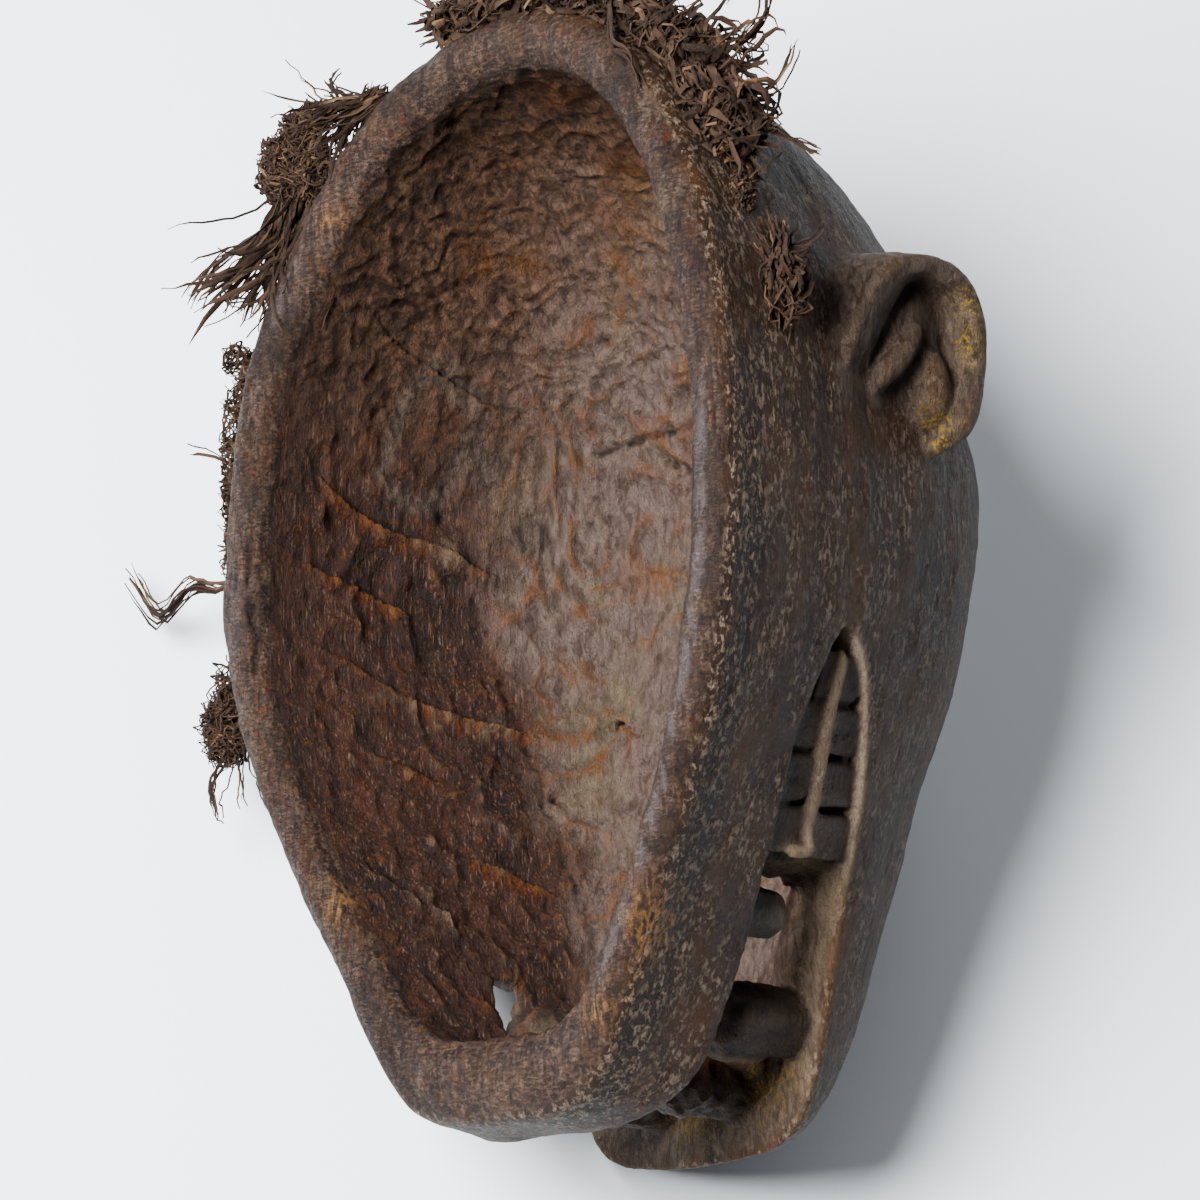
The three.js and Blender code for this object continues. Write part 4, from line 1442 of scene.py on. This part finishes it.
def hollow_colour(paint, pattern):
    """Dark walls, partly painted shade, pale stroke ends as painted highlights, a browner crown and a
    paler floor with seams.
    """
    wall = paint.mix(paint.ramp(pattern.blotch, 0.35, 0.65), WALL_DARK, WALL_BROWN)
    wall = paint.mix(paint.ramp(pattern.grain, 0.45, 0.72, 0, 0.55), wall, WALL_GRAIN)
    wall = paint.mix(paint.ramp(pattern.worm, 0.56, 0.74, 0, 0.5), wall, WALL_RUST)
    wall = paint.mix(paint.ramp(pattern.fibre, 0.56, 0.66, 0, 0.75), wall, WALL_FIBRE)
    # Stroke ends are painted pale, a painted highlight where each step catches the light.
    stroke_highlight = paint.sum("MULTIPLY", paint.mark("step"), paint.ramp(pattern.grain, 0.4, 0.65))
    wall = paint.mix(stroke_highlight, wall, STROKE_END_HIGHLIGHT)
    # The bump's dents are painted darker as shade, and their raised edges paler as a painted highlight.
    wall = paint.mix(paint.ramp(pattern.dent, 0.45, 0.33, 0, 0.5), wall, DENT_SHADE)
    wall = paint.mix(paint.ramp(pattern.dent, 0.55, 0.68, 0, 0.55), wall, DENT_EDGE_HIGHLIGHT)
    dome = paint.mix(paint.ramp(pattern.worm, 0.35, 0.68), CROWN_DARK, CROWN_PALE)
    dome = paint.mix(paint.ramp(pattern.blotch, 0.52, 0.7, 0, 0.45), dome, CROWN_RUST)
    wall = paint.mix(paint.mark("crown"), wall, dome)
    pale = paint.mix(paint.ramp(pattern.worm, 0.3, 0.62), FLOOR_GREY, FLOOR_PALE)
    pale = paint.mix(paint.ramp(pattern.blotch, 0.5, 0.68, 0, 0.35), pale, FLOOR_DUST)
    inside = paint.mix(paint.mark("floor"), wall, pale)
    # The seams along the floor's facet ridges are orange brown, partly the wood's own tone and partly a
    # painted highlight.
    seam_and_highlight = paint.sum("MULTIPLY", paint.mark("facet"), paint.ramp(pattern.blotch, 0.35, 0.6, 0.2, 0.8))
    return paint.mix(paint.sum("MULTIPLY", seam_and_highlight, paint.ramp(pattern.grain, 0.3, 0.55)), inside, SEAM_TONE_AND_HIGHLIGHT)


def outside_colour(paint, pattern):
    """Brown, darker in a band behind the rim, and tan where the top layer flaked off."""
    outer = paint.mix(paint.ramp(pattern.blotch, 0.35, 0.7), OUTER_DARK, OUTER_BROWN)
    outer = paint.mix(paint.ramp(pattern.grain, 0.5, 0.75, 0, 0.6), outer, OUTER_GRAIN)
    crust = paint.sum("MULTIPLY", paint.mark("band"), paint.ramp(pattern.flake, 0.56, 0.46))
    outer = paint.mix(crust, outer, CRUST)
    tan = paint.mix(paint.ramp(pattern.grain, 0.4, 0.6), TAN_DARK, TAN_PALE)
    return paint.mix(pattern.flaked, outer, tan)


print("stroke ends:", [round(v, 2) for v in STROKE_END_HIGHLIGHT])


# %% Rim, teeth, wear and painted light
RIM_DARK, RIM_PALE, RIM_RUST = colour("#3b2d28"), colour("#806b60"), colour("#7c3d1f")
RIM_SPOT, RIM_WORN, PIT = colour("#2a1f1b"), colour("#9c8676"), colour("#1a1210")
# The wax colour is a painted grey sheen on the waxed crest.
PAINTED_SHEEN, SLIT_DARK, SLIT_PALE = colour("#7a6f6f"), colour("#594a3f"), colour("#998677")
# The biting edge's pale colour is a painted highlight.
TOOTH_DARK, TOOTH_PALE, BITE_HIGHLIGHT = colour("#453932"), colour("#6e5f53"), colour("#c7b5a0")
# The ridges' pale colour is partly rubbing and partly a painted highlight, and the low spots' dark one
# is painted shade.
EAR_DARK, EAR_PALE, RIDGE_RUB_AND_HIGHLIGHT = colour("#40352f"), colour("#7d6e63"), colour("#a07c5c")
PIT_SHADE, RUBBED, OCHRE_SPECK = colour("#1d1512"), colour("#bd9470"), colour("#c9aa64")
GRIT = colour("#120d0b")


def rim_colour(paint, pattern):
    """Grey-brown end grain with rust, dark spots and pits, and a painted grey sheen along the waxed
    crest.
    """
    edge = paint.mix(paint.ramp(pattern.grain, 0.35, 0.7), RIM_DARK, RIM_PALE)
    edge = paint.mix(paint.ramp(pattern.worm, 0.54, 0.7, 0, 0.45), edge, RIM_RUST)
    edge = paint.mix(paint.ramp(pattern.blotch, 0.52, 0.4, 0, 0.6), edge, RIM_SPOT)
    edge = paint.mix(paint.ramp(pattern.patch, 0.55, 0.68, 0, 0.5), edge, RIM_WORN)
    edge = paint.mix(paint.ramp(pattern.pit, 0.5, 0.4, 0, 0.8), edge, PIT)
    return paint.mix(pattern.wax_and_sheen, edge, PAINTED_SHEEN)


def with_parts(paint, pattern, base):
    """The bare sides of the slit, the teeth, the biting edge with a painted highlight, and the ears."""
    board = paint.mix(paint.ramp(pattern.worm, 0.35, 0.65), SLIT_DARK, SLIT_PALE)
    base = paint.mix(paint.sum("MULTIPLY", paint.mark("cut"), 0.85), base, board)
    horn = paint.mix(paint.ramp(pattern.blotch, 0.4, 0.65), TOOTH_DARK, TOOTH_PALE)
    base = paint.mix(paint.mark("tooth"), base, horn)
    base = paint.mix(paint.sum("MULTIPLY", paint.mark("bite"), 0.9), base, BITE_HIGHLIGHT)
    grey = paint.mix(paint.ramp(pattern.worm, 0.35, 0.65), EAR_DARK, EAR_PALE)
    return paint.mix(paint.sum("MULTIPLY", paint.mark("ear"), 0.8), base, grey)


def with_wear_and_painted_light(paint, pattern, base):
    """Ridges paler, partly rubbed and partly a painted highlight, pits painted dark as shade, rubbed
    spots, ochre specks and grit.
    """
    ridge = paint.mark("ridge")
    high, low = paint.ramp(ridge, 0.05, 0.4), paint.ramp(ridge, -0.05, -0.4)
    base = paint.mix(paint.sum("MULTIPLY", high, 0.4), base, RIDGE_RUB_AND_HIGHLIGHT)
    base = paint.mix(paint.sum("MULTIPLY", low, 0.7), base, PIT_SHADE)
    rubbed = paint.sum("MULTIPLY", paint.mark("worn"), paint.ramp(pattern.grain, 0.42, 0.6))
    base = paint.mix(rubbed, base, RUBBED)
    ochre = paint.sum("MULTIPLY", paint.mark("ochre"), paint.ramp(pattern.speck, 0.5, 0.58))
    base = paint.mix(ochre, base, OCHRE_SPECK)
    return paint.mix(paint.ramp(pattern.grit, 0.35, 0.65, 0.25, 0), base, GRIT)


print("rubbed spots:", [round(v, 2) for v in RUBBED])


# %% Wood
# The lips' pale edge is partly wear and partly a painted highlight.
LIP_WEAR_AND_HIGHLIGHT = colour("#a8937b")


def wood_bumps(paint, pattern):
    """Worm tracks and grain, sunken flakes, dents in the hollow, pits in the rim, and grit."""
    height = paint.sum("ADD", pattern.worm, paint.sum("MULTIPLY", pattern.grain, 0.5))
    height = paint.sum("ADD", height, paint.sum("MULTIPLY", pattern.flaked, -0.35))
    dents = paint.sum("MULTIPLY", pattern.dent, paint.sum("MULTIPLY", paint.mark("hollow"), 1.6))
    height = paint.sum("ADD", height, dents)
    pits = paint.sum("MULTIPLY", paint.mark("rim"), paint.ramp(pattern.pit, 0.35, 0.55, 0, 0.6))
    normal = paint.bump(paint.sum("ADD", height, pits), 0.0016)
    return paint.bump(paint.sum("ADD", pattern.fine, pattern.grit), 0.0005, normal)


def wood_material():
    """Each zone's colour, the teeth and the wear and painted light over them, and the pale lips, partly
    a painted highlight, last.
    """
    paint = Shader("carved wood")
    pattern = WoodPatterns(paint)
    base = paint.mix(paint.mark("hollow"), outside_colour(paint, pattern), hollow_colour(paint, pattern))
    on_rim = paint.sum("MULTIPLY", paint.mark("rim"), paint.ramp(pattern.patch, 0.3, 0.5, 0.55, 1))
    base = paint.mix(on_rim, base, rim_colour(paint, pattern))
    base = with_wear_and_painted_light(paint, pattern, with_parts(paint, pattern, base))
    deep = paint.add("HueSaturation", {"Color": base, "Saturation": 1.3, "Value": DEPTH})
    lips = paint.sum("MULTIPLY", paint.mark("lip"), paint.ramp(pattern.fine, 0.3, 0.55, 0.45, 0.9))
    paint.give(paint.surface.inputs["Base Color"], paint.mix(lips, deep.outputs[0], LIP_WEAR_AND_HIGHLIGHT))
    rough = paint.ramp(pattern.fine, 0.3, 0.7, 0.5, 0.72)
    rough = paint.sum("SUBTRACT", rough, paint.sum("MULTIPLY", pattern.wax_and_sheen, 0.25))
    paint.give(paint.surface.inputs["Roughness"], rough)
    paint.surface.inputs["Specular IOR Level"].default_value = 0.15
    paint.give(paint.surface.inputs["Normal"], wood_bumps(paint, pattern))
    return paint.material


wood = wood_material()
mask.data.materials.clear()
mask.data.materials.append(wood)
for polygon in mask.data.polygons:
    polygon.use_smooth = True
print("wood's nodes:", len(wood.node_tree.nodes))

# %% [markdown]
# ### The bast's finish
#
# Torn bast is dull and dust-brown, and no two strips are alike. A picture can't tell the
# strips apart, but each one keeps a shade and a place along it. A few strips are much paler,
# and the torn ends are bleached.

# %% Bast
BAST_DARK, BAST_BROWN, BAST_PALE = colour("#221814"), colour("#4d3b30"), colour("#846a54")
BAST_SHADE, BAST_END, BAST_DUST = colour("#1e1512"), colour("#6e5844"), colour("#6d5847")


def bast_material():
    """Brown strips of varied shade with paler ends."""
    paint = Shader("bast")
    shade, along = paint.mark("shade"), paint.mark("along")
    fine = paint.noise((0.5, 0.5, 0.5), 4, 0.6)
    broad = paint.noise((9, 9, 9), 2, 0.5)
    base = paint.mix(paint.ramp(shade, 0.0, 0.75), BAST_DARK, BAST_BROWN)
    base = paint.mix(paint.ramp(shade, 0.86, 0.98), base, BAST_PALE)
    base = paint.mix(paint.ramp(broad, 0.4, 0.62, 0, 0.6), base, BAST_SHADE)
    base = paint.mix(paint.ramp(along, 0.75, 1.0, 0, 0.35), base, BAST_END)
    base = paint.mix(paint.ramp(fine, 0.4, 0.75, 0, 0.3), base, BAST_DUST)
    deep = paint.add("HueSaturation", {"Color": base, "Saturation": 1.15, "Value": 1.15 * DEPTH})
    paint.give(paint.surface.inputs["Base Color"], deep.outputs[0])
    paint.surface.inputs["Roughness"].default_value = 0.85
    paint.surface.inputs["Specular IOR Level"].default_value = 0.12
    paint.give(paint.surface.inputs["Normal"], paint.bump(fine, 0.0003))
    return paint.material


bast = bast_material()
for item in fringe.values():
    item.data.materials.clear()
    item.data.materials.append(bast)
print("bast's nodes:", len(bast.node_tree.nodes))

# %% [markdown]
# ## Camera and light
#
# The camera looks down into the hollow from the mask's right and a little below, from far
# off, so that nothing is drawn out of shape. One big soft panel from the upper left gives the
# broad shade in the hollow, and a weak one from above opens the shadows.

# %% Camera
AIM = np.array([19.73, -7.35, -21.84])
FAR = 1600
azimuth, below, roll = math.radians(45), math.radians(-11.534), math.radians(-1)
back = np.array([
    math.sin(azimuth) * math.cos(below), math.sin(below), math.cos(azimuth) * math.cos(below)
])
right = np.cross([0, 1, 0], back)
right /= np.linalg.norm(right)
up = np.cross(back, right)
rolled = right * math.cos(roll) + up * math.sin(roll)
right, up = rolled, np.cross(back, rolled)
axes = [turned(direction) for direction in (right, up, back)]
view = bpy.data.cameras.new("camera")
view.lens, view.sensor_width, view.clip_end = 160, 36, 20
camera = bpy.data.objects.new("camera", view)
place = Matrix([[axis[row] for axis in axes] + [0] for row in range(3)] + [[0, 0, 0, 1]])
camera.matrix_world = Matrix.Translation(laid(AIM + back * FAR)) @ place
bpy.context.scene.collection.objects.link(camera)
bpy.context.scene.camera = camera
print("camera:", [round(v, 3) for v in camera.location])


# %% Light
MASK_MIDDLE = Vector((0, 0, 0.1))


def lamp(name, way, far, size, power):
    """A soft panel that shines on the mask from a direction of the picture."""
    light = bpy.data.lights.new(name, "AREA")
    light.shape, light.size, light.energy = "DISK", size, power
    item = bpy.data.objects.new(name, light)
    out = sum((axis * amount for axis, amount in zip(axes, way)), Vector()).normalized()
    facing = out.to_track_quat("Z", "Y").to_matrix().to_4x4()
    item.matrix_world = Matrix.Translation(MASK_MIDDLE + out * far) @ facing
    bpy.context.scene.collection.objects.link(item)
    return item


lamp("key", (-0.48, 0.28, 0.85), 1.5, 0.9, 150)
lamp("fill", (0.3, 0.9, 0.4), 1.8, 1.2, 8)
world = bpy.data.worlds.new("room")
world.use_nodes = True
world.node_tree.nodes["Background"].inputs["Color"].default_value = (0.9, 0.94, 1, 1)
world.node_tree.nodes["Background"].inputs["Strength"].default_value = 0.15
bpy.context.scene.world = world
print("lamps:", [item.name for item in bpy.data.lights])

# %% [markdown]
# ## Floor
#
# The photograph shows the mask on a plain pale ground. A wide flat sheet with one pale finish
# does for that. It belongs to the scene only and not to the part.

# %% Floor
FLOOR_HALF = 2.5
bm = bmesh.new()
bmesh.ops.create_grid(bm, x_segments=8, y_segments=8, size=FLOOR_HALF)
floor = made("floor", bm)
pale = bpy.data.materials.new("pale floor")
pale.use_nodes = True
pale.node_tree.nodes["Principled BSDF"].inputs["Base Color"].default_value = (0.82, 0.88, 0.93, 1)
pale.node_tree.nodes["Principled BSDF"].inputs["Roughness"].default_value = 0.6
floor.data.materials.append(pale)
floor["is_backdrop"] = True
print("floor's half width, m:", FLOOR_HALF)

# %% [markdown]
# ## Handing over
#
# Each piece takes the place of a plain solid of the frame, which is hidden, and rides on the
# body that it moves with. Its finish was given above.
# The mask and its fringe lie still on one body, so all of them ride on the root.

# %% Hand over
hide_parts("mask_body")
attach(mask, "root")
for node, item in fringe.items():
    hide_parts(node)
    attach(item, "root")
low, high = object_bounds()
boxes = {"cad": [list(c) for c in cad_box], "visual": [list(low), list(high)]}
